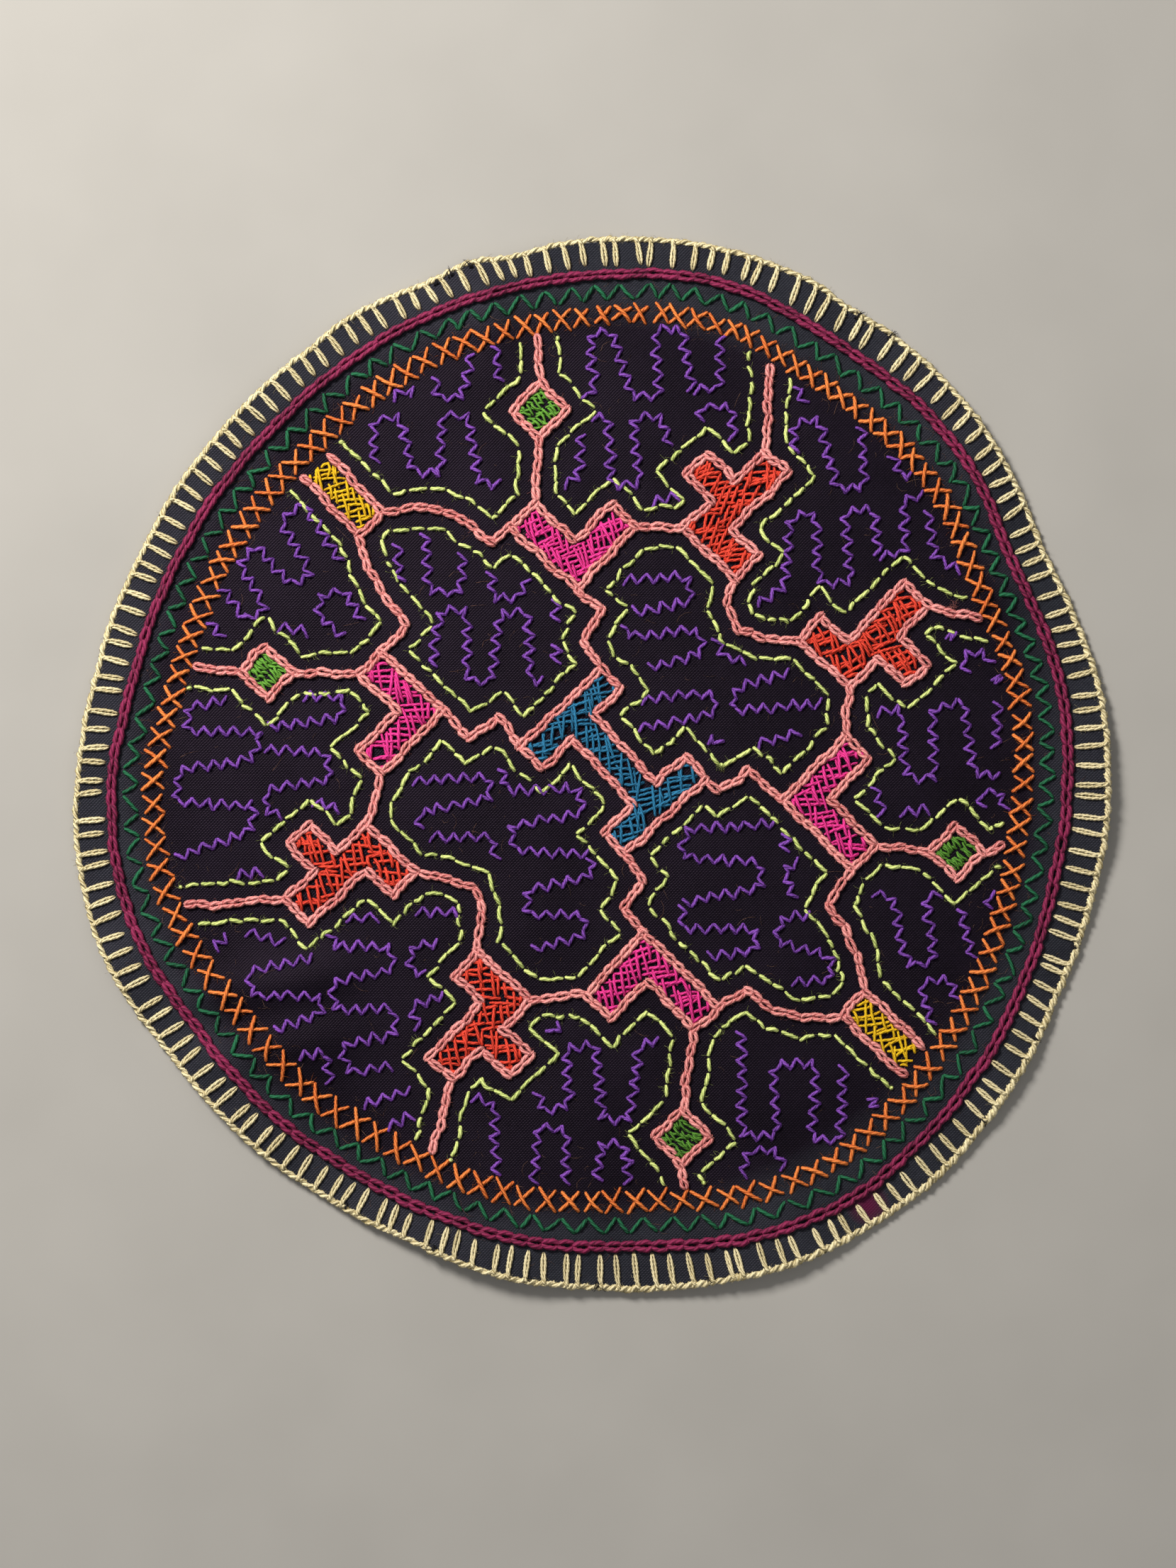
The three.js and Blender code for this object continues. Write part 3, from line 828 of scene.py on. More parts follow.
def chain_links(starts, ends, radius, half_width, overlap, count):
    """Chain stitch: each link is a loop of two strands that rises over the rounded end of the link before."""
    batches = []
    share = np.linspace(0, 1, count)[None, :]
    run = ends - starts
    length = np.linalg.norm(run, axis=1, keepdims=True)
    tone = rng.uniform(0, 1, len(starts))
    stray = rng.normal(0, LINK_STRAY, starts.shape)
    for side in (1, -1):
        width = half_width * rng.uniform(0.82, 1.15, (len(starts), 1))
        bulge = 0.12 + np.sin(math.pi * share**1.5) ** 0.6
        reach = (-LINK_SETBACK + (length + overlap) * share) / length
        flat = starts[:, None] + stray[:, None] + run[:, None] * reach[..., None]
        flat = flat + sideways(run)[:, None] * (side * width * bulge)[..., None]
        rise = radius * (-0.35 + 1.6 * smooth(share / 0.25) - 0.6 * smooth((share - 0.72) / 0.28))
        thick = radius * rng.uniform(0.88, 1.1, (len(starts), 1))
        batches.append(tubes(laid(flat, rise), thick * (0.85 + 0.15 * np.sin(math.pi * share)), tone=tone))
    return batches


def curls(roots, heading, length):
    """Fine fibres that leave their roots in a heading, curl on the way and come to lie on the cloth."""
    share = np.linspace(0, 1, FIBRE_RINGS)
    turn = heading[:, None] + rng.normal(0, FIBRE_CURL, (len(roots), 1)) * share
    steps = np.stack([np.cos(turn), np.sin(turn)], -1) * (length / (FIBRE_RINGS - 1))[:, None, None]
    flat = roots[:, None, :2] + np.cumsum(steps, 1) - steps[:, :1]
    ground = cloth_top(flat) + FIBRE
    lift = rng.uniform(-0.3, 0.5, (len(roots), 1)) * np.sin(math.pi * share)
    height = np.maximum(roots[:, 2:] + (ground[:, -1:] - roots[:, 2:]) * share**2 + lift, ground)
    return tubes(at_height(flat, height), FIBRE, sides=3, ply_depth=0.0)


def fuzz(batches, count, longest):
    """Fibres that stand off the yarn at random places along its stitches."""
    backs = np.concatenate([batch["paths"][:, 2:-2].reshape(-1, 3) for batch in batches])
    roots = backs[rng.integers(0, len(backs), count)]
    length = longest * rng.uniform(0.3, 1.0, count)
    return curls(roots, rng.uniform(0, 2 * math.pi, count), length)


def sewn(name, colour, batches, nodes=()):
    """A piece sewn in one colour of yarn, with the fibres that stand off it."""
    fibres = fuzz(batches, *FUZZ[colour])
    joined_mesh(name, [*batches, fibres], YARNS[colour], nodes)


def wobbled(points):
    """Points moved a little by an unsteady hand, alike for all stitches that meet there."""
    x, y = points[:, 0], points[:, 1]
    sway = [np.sin(x / 1.9 + y / 3.1) + np.sin(y / 1.3), np.sin(y / 2.1 - x / 2.9) + np.sin(x / 1.4)]
    return points + WOBBLE * np.stack(sway, -1)


def divided(paths, pitch):
    """Each straight run of the paths cut into equal stretches of about one pitch."""
    starts, ends = [], []
    for start, end in segments_of(paths):
        count = max(1, round(np.hypot(*(end - start)) / pitch))
        marks = wobbled(start + (end - start) * np.linspace(0, 1, count + 1)[:, None])
        starts.append(marks[:-1])
        ends.append(marks[1:])
    return np.concatenate(starts), np.concatenate(ends)


# Materials


def linear(colour):
    """An sRGB hex colour as linear RGBA."""
    parts = [int(colour[i : i + 2], 16) / 255 for i in (1, 3, 5)]
    return [c / 12.92 if c <= 0.04045 else ((c + 0.055) / 1.055) ** 2.4 for c in parts] + [1.0]


def add_node(tree, kind, settings=None, **sockets):
    """Adds a node, sets its settings and fills its sockets with values or with other nodes' outputs."""
    node = tree.nodes.new(kind)
    for name, value in (settings or {}).items():
        setattr(node, name, value)
    for name, value in sockets.items():
        key = int(name[1:]) if name[0] == "_" and name[1:].isdigit() else name.replace("_", " ")
        if isinstance(value, bpy.types.NodeSocket):
            tree.links.new(value, node.inputs[key])
        else:
            node.inputs[key].default_value = value
    return node


def calculated(tree, operation, *values):
    """The result of one sum on numbers and other nodes' outputs."""
    sockets = {f"_{place}": value for place, value in enumerate(values)}
    return add_node(tree, "ShaderNodeMath", {"operation": operation}, **sockets).outputs[0]


def two_tone(tree, factor, dark, light, low=0.0, high=1.0):
    """A colour that runs from dark to light as a factor goes from low to high."""
    ramp = add_node(tree, "ShaderNodeValToRGB", Fac=factor)
    for stop, place, colour in zip(ramp.color_ramp.elements, (low, high), (dark, light)):
        stop.position = place
        stop.color = linear(colour)
    return ramp.outputs["Color"]


def new_material(name, **sockets):
    """An empty material with a surface whose sockets hold the given values."""
    material = bpy.data.materials.new(name)
    material.use_nodes = True
    tree = material.node_tree
    tree.nodes.clear()
    surface = add_node(tree, "ShaderNodeBsdfPrincipled", **sockets)
    add_node(tree, "ShaderNodeOutputMaterial", Surface=surface.outputs["BSDF"])
    return material, tree, surface


def yarn_finish(name, dark, light, sheen=0.25):
    """Spun yarn of loosely twisted plies: painted shade in the grooves and painted highlight on the plies,
    fine fibres and a soft sheen.
    """
    sheen_sockets = {"Sheen_Weight": sheen, "Sheen_Roughness": 0.45, "Sheen_Tint": linear(light)}
    material, tree, surface = new_material(name, Roughness=0.78, Specular_IOR_Level=0.3, **sheen_sockets)
    # The yarn's own UV runs in millimetres along it and once around it
    coords = add_node(tree, "ShaderNodeUVMap", {"uv_map": "yarn"}).outputs["UV"]
    tone = add_node(tree, "ShaderNodeAttribute", {"attribute_name": "tone"}).outputs["Fac"]
    plies = add_node(
        tree, "ShaderNodeTexWave", {"bands_direction": "Y"}, Vector=coords, Scale=PLIES * math.pi / 10
    ).outputs["Fac"]
    stretched = add_node(tree, "ShaderNodeMapping", Vector=coords, Scale=(0.7, 9.0, 1.0)).outputs["Vector"]
    fibres = add_node(tree, "ShaderNodeTexNoise", Vector=stretched, Scale=2.2, Detail=4.0).outputs["Fac"]
    # The ply bands darken the colour in the grooves between the plies and lighten it on their crowns: painted
    # shade and painted highlight, mixed with fibre streaks and each stitch's own tone
    lit = calculated(tree, "MULTIPLY_ADD", plies, 0.46, -0.27)
    lit = calculated(tree, "MULTIPLY_ADD", fibres, 0.9, lit)
    lit = calculated(tree, "MULTIPLY_ADD", tone, 0.3, lit)
    height = calculated(tree, "MULTIPLY_ADD", fibres, 0.35, plies)
    bump = add_node(tree, "ShaderNodeBump", Height=height, Strength=0.75, Distance=0.00025)
    tree.links.new(two_tone(tree, lit, dark, light, 0.12, 0.82), surface.inputs["Base Color"])
    tree.links.new(bump.outputs["Normal"], surface.inputs["Normal"])
    return material


def twill_finish():
    """Black cotton twill: slanted ribs that catch a little light, a lighter slate-grey rim and a dye stain.
    """
    sheen_sockets = {"Sheen_Weight": 0.03, "Sheen_Roughness": 0.6, "Sheen_Tint": linear("#8c88a0")}
    shine_sockets = {"Specular_IOR_Level": 0.09, "Specular_Tint": linear("#f3d6ff")}
    material, tree, surface = new_material(
        "black_cotton_twill", Roughness=0.44, **shine_sockets, **sheen_sockets
    )
    coords = add_node(tree, "ShaderNodeTexCoord").outputs["Object"]
    rib_scale = math.pi / 10 / (TWILL_RIB * MM)
    thread_scale = math.pi / 10 / (TWILL_THREAD * MM)
    slanted = add_node(
        tree, "ShaderNodeMapping", Vector=coords, Rotation=(0, 0, math.radians(TWILL_SLANT))
    ).outputs["Vector"]
    ribs = add_node(
        tree, "ShaderNodeTexWave", Vector=slanted, Scale=rib_scale, Distortion=1.2, Detail=1.0
    ).outputs["Fac"]
    threads = add_node(
        tree, "ShaderNodeTexWave", {"bands_direction": "Y"}, Vector=coords, Scale=thread_scale, Distortion=2.0
    ).outputs["Fac"]
    # Noise scales are cells in a metre: patches of about 22 mm and specks of about 1 mm
    patches = add_node(tree, "ShaderNodeTexNoise", Vector=coords, Scale=45.0, Detail=5.0).outputs["Fac"]
    specks = add_node(tree, "ShaderNodeTexNoise", Vector=coords, Scale=900.0, Detail=3.0).outputs["Fac"]
    broken = calculated(tree, "MULTIPLY_ADD", threads, 0.6, 0.25)
    weave = calculated(tree, "MULTIPLY", ribs, broken)
    lit = calculated(tree, "MULTIPLY_ADD", patches, 0.4, calculated(tree, "MULTIPLY", weave, specks))
    field = two_tone(tree, lit, "#020203", "#221b29", 0.12, 0.9)
    # The rim is coloured a lighter slate grey than the field
    rim = two_tone(tree, lit, "#14171c", "#40444d", 0.12, 0.9)
    from_middle = add_node(tree, "ShaderNodeVectorMath", {"operation": "LENGTH"}, _0=coords).outputs["Value"]
    rim_share = add_node(
        tree, "ShaderNodeMapRange", Value=from_middle, From_Min=RIM_GREY_START * MM, From_Max=RIM_GREY_END * MM
    ).outputs["Result"]
    blend = {"data_type": "RGBA"}
    field_and_rim = add_node(tree, "ShaderNodeMix", blend, _0=rim_share, _6=field, _7=rim).outputs[2]
    # Burgundy dye has run from the ring of chain stitch towards the edge at one place
    stain_middle = [place * MM for place in STAIN_PLACE] + [0.0]
    apart = add_node(tree, "ShaderNodeVectorMath", {"operation": "DISTANCE"}, _0=coords, _1=stain_middle)
    ragged = calculated(tree, "MULTIPLY_ADD", patches, 0.003, apart.outputs["Value"])
    dyed = add_node(
        tree, "ShaderNodeMapRange", Value=ragged, From_Min=STAIN_REACH * MM, From_Max=0.3 * STAIN_REACH * MM
    ).outputs["Result"]
    colour = add_node(tree, "ShaderNodeMix", blend, _0=dyed, _6=field_and_rim, _7=linear("#5a1238")).outputs[2]
    bump = add_node(tree, "ShaderNodeBump", Height=weave, Strength=0.5, Distance=0.00025)
    tree.links.new(colour, surface.inputs["Base Color"])
    tree.links.new(bump.outputs["Normal"], surface.inputs["Normal"])
    return material


def floor_finish():
    """Plain matt card, pale and warm, with a faint mottling about 55 mm across."""
    material, tree, surface = new_material("pale_matt_card", Roughness=0.9)
    coords = add_node(tree, "ShaderNodeTexCoord").outputs["Object"]
    mottling = add_node(tree, "ShaderNodeTexNoise", Vector=coords, Scale=18.0, Detail=3.0).outputs["Fac"]
    tree.links.new(two_tone(tree, mottling, "#a6a4a0", "#b4b2ae"), surface.inputs["Base Color"])
    return material


# Each yarn's two colours are the ends of its ramp: the dark end carries the painted shade of the ply grooves,
# the light end the painted highlight on the plies
YARNS = {
    "pale_yellow": yarn_finish("pale_yellow_cotton_yarn", "#9a8852", "#fff2c6"),
    "burgundy": yarn_finish("burgundy_cotton_yarn", "#38071f", "#972a58", sheen=0.3),
    "dark_green": yarn_finish("dark_green_cotton_yarn", "#08271a", "#22734d"),
    "orange": yarn_finish("orange_cotton_yarn", "#b23c0a", "#ff954a"),
    "pink": yarn_finish("salmon_acrylic_yarn", "#a53a3d", "#ffaca8", sheen=0.4),
    "lime": yarn_finish("lime_acrylic_yarn", "#788c3c", "#f0ff9e", sheen=0.35),
    "purple": yarn_finish("purple_cotton_yarn", "#2a0d4b", "#9052c4"),
    "blue": yarn_finish("blue_cotton_yarn", "#06253b", "#2c85b4"),
    "magenta": yarn_finish("magenta_cotton_yarn", "#a50b58", "#ff42a6"),
    "red": yarn_finish("red_cotton_yarn", "#93130f", "#ff523a"),
    "green": yarn_finish("green_cotton_yarn", "#153c0d", "#6eae3e"),
    "yellow": yarn_finish("yellow_cotton_yarn", "#bd8404", "#ffd61e"),
    "lint": yarn_finish("brown_and_grey_lint", "#6a2c18", "#b8927c"),
    "thread": yarn_finish("black_cotton_thread", "#0b0a0d", "#2a2830"),
}


# Pieces


def cloth_sheet():
    """The cloth: a square grid drawn round, set on the folds and given its thickness."""
    bpy.ops.object.select_all(action="DESELECT")
    bpy.ops.mesh.primitive_grid_add(x_subdivisions=CLOTH_GRID, y_subdivisions=CLOTH_GRID, size=2)
    sheet = bpy.context.object
    sheet.name = "cloth_sheet"
    co = np.empty(len(sheet.data.vertices) * 3)
    sheet.data.vertices.foreach_get("co", co)
    x, y, _ = co.reshape(-1, 3).T
    lengthways = np.abs(x) >= np.abs(y)
    reach = np.where(lengthways, x, y)
    share = np.divide(np.where(lengthways, y, x), reach, out=np.zeros_like(x), where=reach != 0)
    turn = np.where(lengthways, 45 * share, 90 - 45 * share)
    unit = on_ring(turn, reach)
    points = unit * cut_radius(polar(unit)[0])[:, None]
    shaped = laid(points, np.zeros(len(points))) * MM
    sheet.data.vertices.foreach_set("co", shaped.ravel())
    thickness = sheet.modifiers.new("thickness", "SOLIDIFY")
    thickness.thickness = CLOTH_THICKNESS * MM
    thickness.offset = -1
    bpy.ops.object.modifier_apply(modifier=thickness.name)
    bpy.ops.object.shade_smooth_by_angle(angle=math.radians(50))
    sheet.data.materials.append(twill_finish())
    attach(sheet, "root")
    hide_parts("cloth")


def edge_legs(angle):
    """The legs of the blanket stitch: doubled yarn, narrow at the tip, whose root turns along the edge."""
    legs = len(angle)
    tip_radius = ring_radius(angle, CHAIN_RING_INSET, CHAIN_STRAY_SHARE) + EDGE_LEG_CLEARANCE
    lean = rng.normal(0, LEG_LEAN, legs) + LEG_SLOPE[2] * felt(angle, *LEG_SLOPE[:2])
    tips = on_ring(angle + np.degrees(lean / tip_radius), tip_radius + rng.normal(0, 0.35, legs))
    run = on_ring(angle, cut_radius(angle) + 0.6) - tips
    share = np.linspace(0, 1, LEG_RINGS)
    spindle = np.sin(math.pi * (0.05 + 0.87 * share**0.7))
    batches = []
    for side in (1, -1):
        doubled = side * LEG_HALF * spindle * rng.uniform(0.8, 1.15, (legs, 1))
        aside = doubled + 0.4 * smooth((share - 0.8) / 0.2)
        flat = tips[:, None] + run[:, None] * share[:, None] + sideways(run)[:, None] * aside[..., None]
        rise = EDGE_YARN * (1.6 * smooth(share / 0.14) - 0.6) - 0.6 * smooth((share - 0.86) / 0.14)
        thick = EDGE_YARN * rng.uniform(0.9, 1.1, (legs, 1)) * (0.5 + 0.5 * smooth(share / 0.3))
        batches.append(tubes(laid(flat, rise), thick))
    return batches


def rim_face(angle):
    """Height of the cloth's face just inside the cut edge."""
    return cloth_top(on_ring(angle, cut_radius(angle) - RIM_FACE_INSET))


def edge_purl(angle):
    """The purl along the cut edge: two strands twisted round each other, with a turn of yarn at each leg."""
    legs = len(angle)
    following = np.append(angle[1:], angle[0] + 360)
    share = np.linspace(-0.06, 1.06, PURL_RINGS)
    turn = angle[:, None] + (following - angle)[:, None] * share
    face = rim_face(turn)
    start_phase = rng.normal(0, 0.5, (legs, 1))
    swell = 1 + PURL_SWELL[2] * felt(turn, *PURL_SWELL[:2])
    bulge = np.sin(math.pi * np.clip(share, 0, 1)) * rng.uniform(0.05, 0.5, (legs, 1))
    batches = []
    for strand in (0, 1):
        phase = start_phase + math.pi * (2 * share + strand)
        flat = on_ring(turn, cut_radius(turn) + PURL_REACH + PURL_WIND * swell * np.cos(phase) + bulge)
        height = face - PURL_SINK + PURL_WIND * np.sin(phase)
        thick = PURL_YARN * swell * rng.uniform(0.88, 1.1, (legs, 1))
        batches.append(tubes(at_height(flat, height), thick))
    share = np.linspace(0, 1, KNOT_RINGS)
    over = math.pi * (0.05 + 0.9 * share)
    knot_turn = angle[:, None] + np.degrees(0.9 * (share - 0.3) / CLOTH_RADIUS)
    flat = on_ring(knot_turn, cut_radius(knot_turn) + PURL_REACH - 1.5 * PURL_WIND * np.cos(over) - 0.3)
    height = rim_face(angle)[:, None] - KNOT_SINK + KNOT_RISE * np.sin(over)
    batches.append(tubes(at_height(flat, height), 0.85 * PURL_YARN))
    return batches


def edge_stitch():
    """Blanket stitch in doubled yarn, which binds the cut edge."""
    pitch = 360 / EDGE_LEGS
    angle = np.arange(EDGE_LEGS) * pitch + rng.normal(0, 0.13, EDGE_LEGS) * pitch
    legs, purl = edge_legs(angle), edge_purl(angle)
    batches = legs + purl
    batches.append(fuzz(batches, *FUZZ["pale_yellow"]))
    batches.append(fuzz(purl, *FUZZ["purl"]))
    joined_mesh("edge_stitching", batches, YARNS["pale_yellow"], ["edge_stitch"])


def chain_ring():
    """The ring of chain stitch, worked slacker towards the lower right."""
    count = round(2 * math.pi * (CLOTH_RADIUS - CHAIN_RING_INSET) / RING_LINK)
    angle = np.arange(count + 1) * 360 / count
    path = on_ring(angle, ring_radius(angle, CHAIN_RING_INSET, CHAIN_STRAY_SHARE))
    turn = np.radians(angle[:-1, None])
    slack = 1 - 0.12 * np.sin(turn) + 0.1 * np.cos(turn)
    overlap = RING_OVERLAP + 0.3 * np.sin(turn)
    links = chain_links(path[:-1], path[1:], RING_YARN, RING_HALF * slack, overlap, count=12)
    sewn("burgundy_chain", "burgundy", links, ["chain_ring"])


def pace_of(count, crowding):
    """How far apart the stitches of a ring are, against the mean: less than 1 where they crowd together."""
    turn = np.arange(count) * 360 / count
    return 1 - swells(turn, crowding)


def zigzag_ring():
    """Straight stitches that slant in turn to either side, their ends a little apart."""
    turns = 2 * ZIGZAGS
    pace = pace_of(turns, ZIGZAG_CROWDING)
    angle = np.cumsum(pace) * 360 / pace.sum() + rng.normal(0, 0.2, turns)
    swing = np.where(np.arange(turns) % 2 == 0, ZIGZAG_REACH, -ZIGZAG_REACH)
    points = on_ring(angle, ring_radius(angle, ZIGZAG_INSET, ZIGZAG_STRAY_SHARE) + swing)
    following = np.roll(points, -1, axis=0)
    trim = 0.07 * (following - points)
    batch = stitches(points + trim, following - trim, GREEN_YARN, count=12, stray=0.18)
    sewn("green_zigzag", "dark_green", [batch], ["zigzag_ring"])


def cross_ring():
    """Crosses, each a lower stroke and an upper stroke over it, smallest where they crowd together."""
    size = pace_of(CROSSES, CROSS_CROWDING)
    angle = np.cumsum(size) * 360 / size.sum() + rng.normal(0, 0.09, CROSSES)
    half = CROSS_HALF_SHARE * 360 / CROSSES * size * rng.uniform(0.93, 1.12, CROSSES)
    reach = CROSS_REACH * size * rng.uniform(0.9, 1.1, CROSSES)
    outer = ring_radius(angle, CROSS_INSET) + reach
    inner = ring_radius(angle, CROSS_INSET) - reach
    rows = []
    for side, height in ((1, 1.0), (-1, 2.2)):
        starts, ends = on_ring(angle - side * half, outer), on_ring(angle + side * half, inner)
        rows.append(stitches(starts, ends, ORANGE_YARN, count=14, height=height, stray=0.25))
    sewn("orange_crosses", "orange", rows, ["cross_row_lower", "cross_row_upper"])


def maze_chain():
    """The maze line in chain stitch, and the haze of fibres about it as a piece of its own."""
    starts, ends = divided(maze, PINK_LINK)
    links = chain_links(starts, ends, PINK_YARN, PINK_HALF, PINK_OVERLAP, count=9)
    joined_mesh("maze_chain", links, YARNS["pink"], ["maze_line"])
    joined_mesh("maze_chain_fuzz", [fuzz(links, *FUZZ["pink"])], YARNS["pink"])


def offset_path(path, distance, ring=False):
    """A path moved to its left by a distance; runs too short to follow are dropped."""
    starts, ends = list(path[:-1]), list(path[1:])
    if ring:
        starts.append(path[-1])
        ends.append(path[0])
    lines = []
    for start, end in zip(starts, ends):
        length = max(np.hypot(*(end - start)), 1e-9)
        run = (end - start) / length
        lines.append((start + distance * sideways(run), run, length))
    while True:
        count = len(lines)
        corners = []
        for i in range(count if ring else count - 1):
            (p, r, _), (q, s, _) = lines[i], lines[(i + 1) % count]
            turn = r[0] * s[1] - r[1] * s[0]
            if abs(turn) < 1e-3:
                corners.append(q)
            else:
                step = ((q - p)[0] * s[1] - (q - p)[1] * s[0]) / turn
                corners.append(p + r * step)
        if not ring:
            corners = [lines[0][0], *corners, lines[-1][0] + lines[-1][1] * lines[-1][2]]
        spans = [corners[i + 1] - corners[i] for i in range(len(corners) - 1)]
        if ring:
            spans = [corners[i] - corners[i - 1] for i in range(count)]
        forward = [span @ line[1] for span, line in zip(spans, lines)]
        worst = int(np.argmin(forward))
        if forward[worst] > 0 or count < 4:
            return np.array(corners)
        del lines[worst]


def area_of(path):
    """Area inside a closed path, negative where it runs clockwise."""
    x, y = path.T
    return 0.5 * np.sum(x * np.roll(y, -1) - y * np.roll(x, -1))


def inside(points, path):
    """Which points lie inside a closed path."""
    within = np.zeros(len(points), bool)
    for start, end in zip(path, np.roll(path, -1, axis=0)):
        above = (points[:, 1] < start[1]) != (points[:, 1] < end[1])
        rise = end[1] - start[1]
        cross = start[0] + (points[:, 1] - start[1]) * (end[0] - start[0]) / (rise if rise else 1e-9)
        within ^= above & (points[:, 0] < cross)
    return within


def outer_corners(path):
    """Points far outside the border that close an open cell the short way round."""
    first, last = polar(path[[-1, 0]])[0]
    sweep = (last - first + 180) % 360 - 180
    return on_ring(first + sweep * np.linspace(0, 1, 9), FAR_OUT)


def lengthened(path, extra):
    """A path drawn out straight at both ends."""
    ends = []
    for last, before in ((path[0], path[1]), (path[-1], path[-2])):
        ends.append(last + extra * (last - before) / np.hypot(*(last - before)))
    return np.array([ends[0], *path, ends[1]])


def lime_lines():
    """Running stitch that keeps step with the maze line inside every cell."""
    starts, ends = [], []
    for path, is_open in maze_cells():
        kept = [i for i in range(len(path)) if i == 0 or np.hypot(*(path[i] - path[i - 1])) > 0.5]
        path = path[kept]
        outline = np.concatenate([path, outer_corners(path)]) if is_open else path
        side = 1 if area_of(outline) > 0 else -1
        if is_open:
            line = offset_path(lengthened(path, 2 * LIME_OFFSET), side * LIME_OFFSET)
            line = cut_at_border(line, FIELD_INSET - LIME_PAST_FIELD)
        else:
            line = closed(offset_path(path, side * LIME_OFFSET, ring=True))
        begin, finish = divided([line], LIME_PITCH)
        trim = 0.5 * LIME_GAP * (finish - begin) / np.linalg.norm(finish - begin, axis=1, keepdims=True)
        starts.append(begin + trim)
        ends.append(finish - trim)
    batch = stitches(np.concatenate(starts), np.concatenate(ends), LIME_YARN, count=11, stray=0.25)
    sewn("lime_running_stitch", "lime", [batch])


def rounded(path, window):
    """A path of close points with its turns rounded off."""
    padded = np.pad(path, ((window // 2, window // 2), (0, 0)), mode="edge")
    reach = 2 * (window // 2) + 1
    return np.stack([np.convolve(padded[:, i], np.ones(reach) / reach, mode="valid") for i in (0, 1)], -1)


def purple_zigzags():
    """Back stitch that swings from side to side along the winding lines."""
    starts, ends = [], []
    for line in (line for lines in PURPLE_LINES.values() for line in lines):
        fine = rounded(stepped(np.array(line, float), PURPLE_FINE), round(PURPLE_BEND / PURPLE_FINE))
        length = np.concatenate([[0], np.cumsum(np.linalg.norm(np.diff(fine, axis=0), axis=1))])
        count = max(3, round(length[-1] / PURPLE_STEP))
        marks = np.linspace(0, length[-1], count + 1)
        points = np.stack([np.interp(marks, length, fine[:, i]) for i in (0, 1)], -1)
        ahead = np.gradient(points, axis=0)
        ahead /= np.linalg.norm(ahead, axis=1, keepdims=True)
        around = np.pad(ahead, ((1, 1), (0, 0)), mode="edge")
        straight = np.linalg.norm(around[:-2] + around[2:], axis=1) / 2
        swing = PURPLE_SWING * straight**2 * np.where(np.arange(count + 1) % 2, 1, -1)
        points = points + swing[:, None] * sideways(ahead) + rng.normal(0, PURPLE_STRAY, points.shape)
        starts.append(points[:-1])
        ends.append(points[1:])
    batch = stitches(np.concatenate(starts), np.concatenate(ends), PURPLE_YARN, count=8, stray=0.1)
    sewn("purple_zigzags", "purple", [batch])


def hatching(path, angle, spacing, longest):
    """Parallel strokes across a block, from one side of it to the other."""
    ahead = np.array([math.cos(math.radians(angle)), math.sin(math.radians(angle))])
    aside = sideways(ahead)
    starts, ends = [], []
    along = np.arange((path @ ahead).min(), (path @ ahead).max(), HATCH_STEP)
    for place in np.arange((path @ aside).min() + FILL_FIRST, (path @ aside).max(), spacing):
        lean = rng.normal(0, FILL_LEAN)
        points = ahead * along[:, None] + aside * (place + lean * (along - along.mean()))[:, None]
        to_outline = distance_to(points, segments_of([closed(path)]))
        clear = inside(points, path) & (to_outline > FILL_CLEARANCE)
        changes = np.flatnonzero(np.diff(np.concatenate([[0], clear.astype(int), [0]])))
        for first, last in changes.reshape(-1, 2):
            pieces = max(1, math.ceil((last - first) * HATCH_STEP / longest))
            marks = np.linspace(first, last - 1, pieces + 1).round().astype(int)
            for a, b in zip(marks[:-1], marks[1:]):
                if b - a > HATCH_FEWEST:
                    trim = rng.uniform(0, FILL_TRIM, 2) * min(1, (b - a) / HATCH_FULL_TRIM)
                    starts.append(points[a] + trim[0] * ahead)
                    ends.append(points[b] - trim[1] * ahead)
    return np.array(starts), np.array(ends)


def block_fill(colour, outlines, nodes):
    """Filling stitches: a first layer of strokes, and a second that crosses over it."""
    layers = []
    for layer in (0, 2):
        strokes = []
        for outline, row in zip(outlines, FILLS[colour]):
            begin, finish = hatching(outline, row[layer], row[layer + 1], FILL_LONGEST[colour])
            strokes.append((begin, finish, np.full(len(begin), row[4])))
        starts, ends, tone = (np.concatenate(side) for side in zip(*strokes))
        length = np.linalg.norm(ends - starts, axis=1)
        height = 1 + rng.uniform(0, 1.2, len(starts)) * np.minimum(1, length / 9) + 0.3 * layer
        tone = tone + rng.uniform(-0.4, 0.4, len(starts))
        yarn = FILL_YARN[colour]
        layers.append(stitches(starts, ends, yarn, count=14, stray=FILL_STRAY, height=height, tone=tone))
    sewn(f"{colour}_filling", colour, layers, nodes)


def all_fills():
    """Every block's filling, one piece for each colour."""
    block_fill("blue", [charted(BLOCKS["blue"])], ["block_blue"])
    for colour in ("magenta", "red", "green"):
        outlines = [quarter[colour] for quarter in quarters]
        block_fill(colour, outlines, [f"block_{colour}_{k}" for k in (1, 2, 3, 4)])
    block_fill("yellow", bars, ["block_yellow_1", "block_yellow_2"])


def tuft(place):
    """A pinch of fibres that have worked loose at one place."""
    flat = np.array(place, float) + rng.normal(0, TUFT_SPREAD, (TUFT_FIBRES, 2))
    roots = laid(flat, rng.uniform(0.2, 1.4, TUFT_FIBRES))
    heading = rng.uniform(0, 2 * math.pi, TUFT_FIBRES)
    return curls(roots, heading, TUFT_LONGEST * rng.uniform(0.4, 1.0, TUFT_FIBRES))


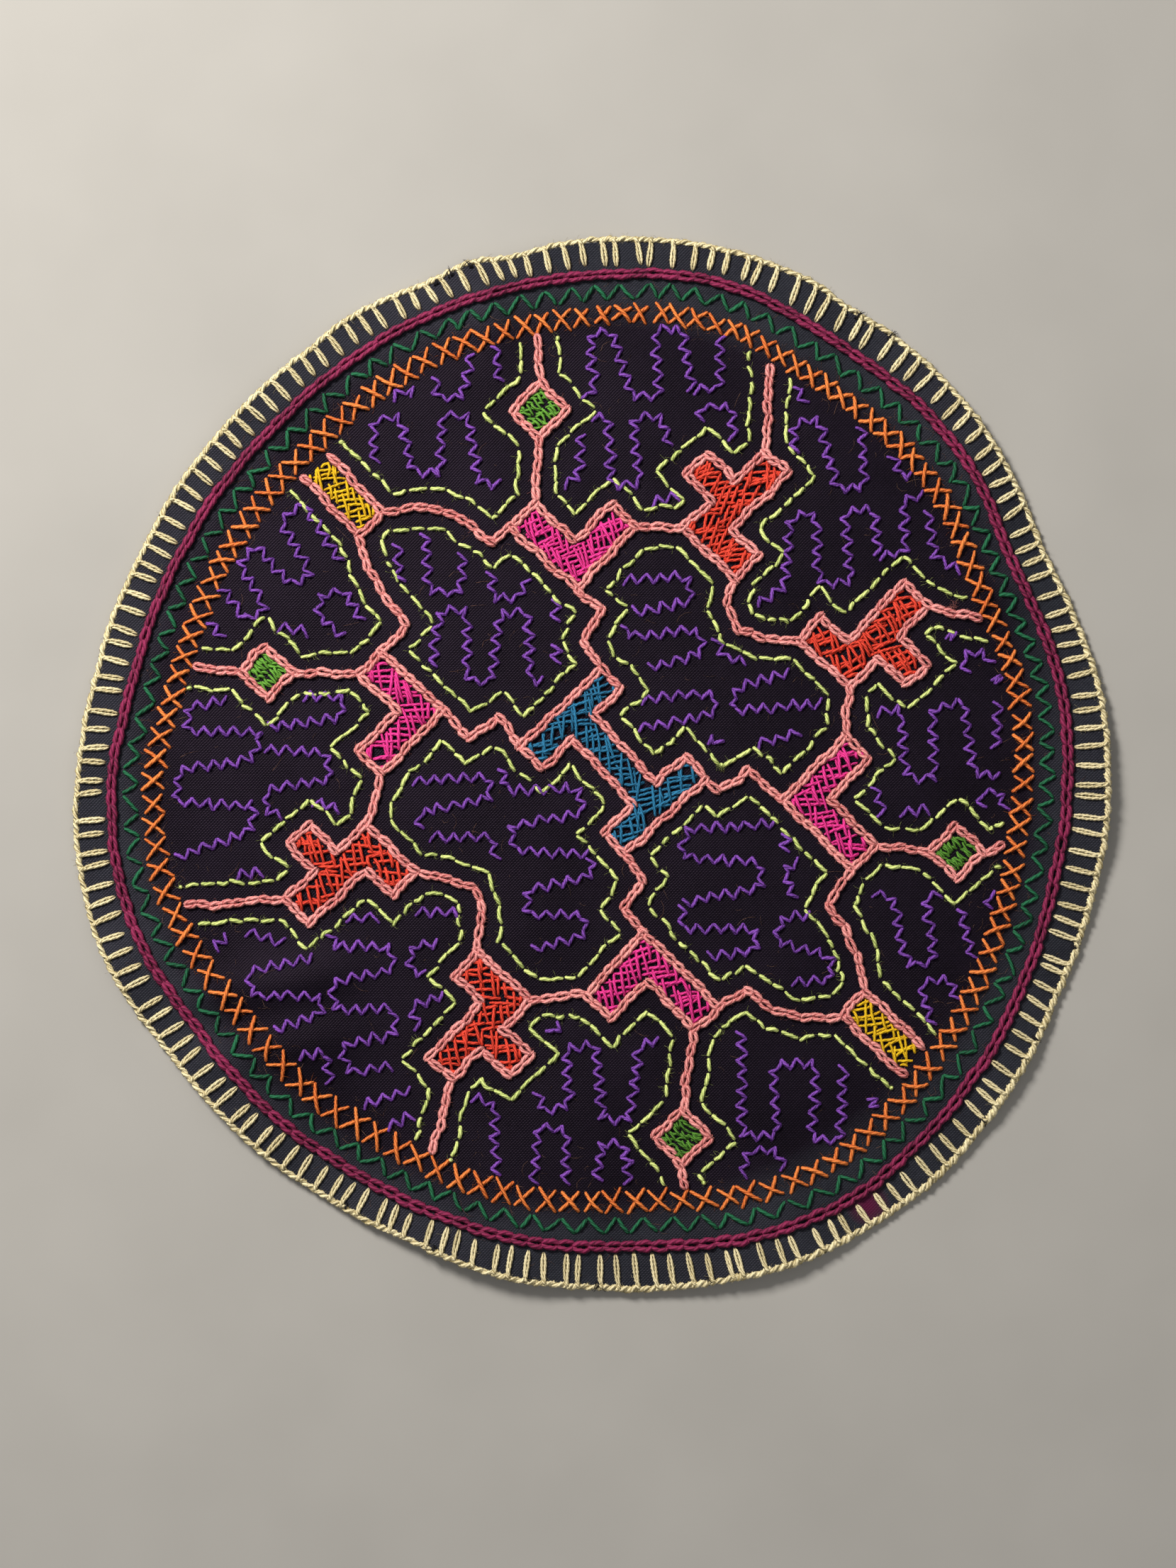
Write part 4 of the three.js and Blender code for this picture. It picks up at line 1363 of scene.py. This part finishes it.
def lint():
    """Short brown and grey hairs that lie about on the cloth, thickest by the ring of crosses."""
    angle = rng.uniform(0, 360, LINT_BY_RING)
    scatter = rng.normal(0, LINT_RING_SPREAD, LINT_BY_RING)
    near_ring = on_ring(angle, ring_radius(angle, CROSS_INSET) + scatter)
    turn = rng.uniform(0, 360, LINT_ALL_OVER)
    all_over = on_ring(turn, ring_radius(turn, LINT_INSET) * np.sqrt(rng.uniform(0, 1, LINT_ALL_OVER)))
    flat = np.concatenate([near_ring, all_over])
    roots = laid(flat, np.full(len(flat), 0.1))
    length = LINT_LONGEST * rng.uniform(0.3, 1.0, len(flat)) ** 2
    hairs = curls(roots, rng.uniform(0, 2 * math.pi, len(flat)), length)
    joined_mesh("lint", [hairs], YARNS["lint"])
    for colour, place in TUFTS:
        joined_mesh(f"{colour}_tuft", [tuft(place)], YARNS[colour])


def frayed_edge():
    """Black threads of the cloth that have worked out between the stitches of the purl."""
    angle, length = np.repeat(np.array(FRAYS, float), FRAY_THREADS, axis=0).T
    angle = angle + rng.normal(0, 0.16, len(angle))
    length = 2 * PURL_REACH + 1 + length * rng.uniform(0.5, 1.1, len(angle))
    share = np.linspace(0, 1, FRAY_RINGS)
    turn = angle[:, None] + rng.normal(0, 0.35, (len(angle), 1)) * share**2
    radius = cut_radius(angle)[:, None] - RIM_FACE_INSET + length[:, None] * share
    height = rim_face(angle)[:, None] - 0.1 + 1.1 * np.sin(math.pi * share**0.8) - 0.4 * share
    paths = at_height(on_ring(turn, radius), height)
    threads = tubes(paths, FRAY_YARN * (1 - 0.6 * share), sides=4, ply_depth=0.0)
    joined_mesh("frayed_threads", [threads], YARNS["thread"])


def studio():
    """A pale floor, a broad soft light from the upper left, and the camera straight above."""
    bpy.ops.object.select_all(action="DESELECT")
    bpy.ops.mesh.primitive_plane_add(size=FLOOR_SIZE, location=(0, 0, 0))
    floor = bpy.context.object
    floor.name = "floor"
    floor.data.materials.append(floor_finish())
    for name, place, size, power in LIGHTS:
        lamp = bpy.data.lights.new(name, "AREA")
        lamp.size = size
        lamp.energy = power
        lamp.color = linear(LIGHT_COLOUR)[:3]
        light = bpy.data.objects.new(name, lamp)
        light.location = place
        toward = -np.array(place) / np.linalg.norm(place)
        tilt = math.acos(-toward[2])
        light.rotation_euler = (tilt, 0, math.atan2(toward[1], toward[0]) - math.pi / 2)
        bpy.context.scene.collection.objects.link(light)
    world = bpy.data.worlds.new("studio")
    world.use_nodes = True
    sky = world.node_tree.nodes["Background"]
    sky.inputs["Color"].default_value = linear(SKY_COLOUR)
    sky.inputs["Strength"].default_value = SKY_STRENGTH
    bpy.context.scene.world = world
    lens = bpy.data.cameras.new("camera")
    lens.sensor_fit = "VERTICAL"
    lens.sensor_height = SENSOR
    lens.lens = SENSOR * CAMERA_HEIGHT / (PHOTO_SIZE[1] / PHOTO_SCALE * MM)
    camera = bpy.data.objects.new("camera", lens)
    offset = [(PHOTO_SIZE[i] / 2 - PHOTO_MIDDLE[i]) / PHOTO_SCALE * MM for i in (0, 1)]
    camera.location = (offset[0], -offset[1], CAMERA_HEIGHT)
    bpy.context.scene.collection.objects.link(camera)
    bpy.context.scene.camera = camera
    bpy.context.scene.view_settings.view_transform = "Standard"


cloth_sheet()
edge_stitch()
chain_ring()
zigzag_ring()
cross_ring()
maze_chain()
lime_lines()
purple_zigzags()
all_fills()
lint()
frayed_edge()
studio()
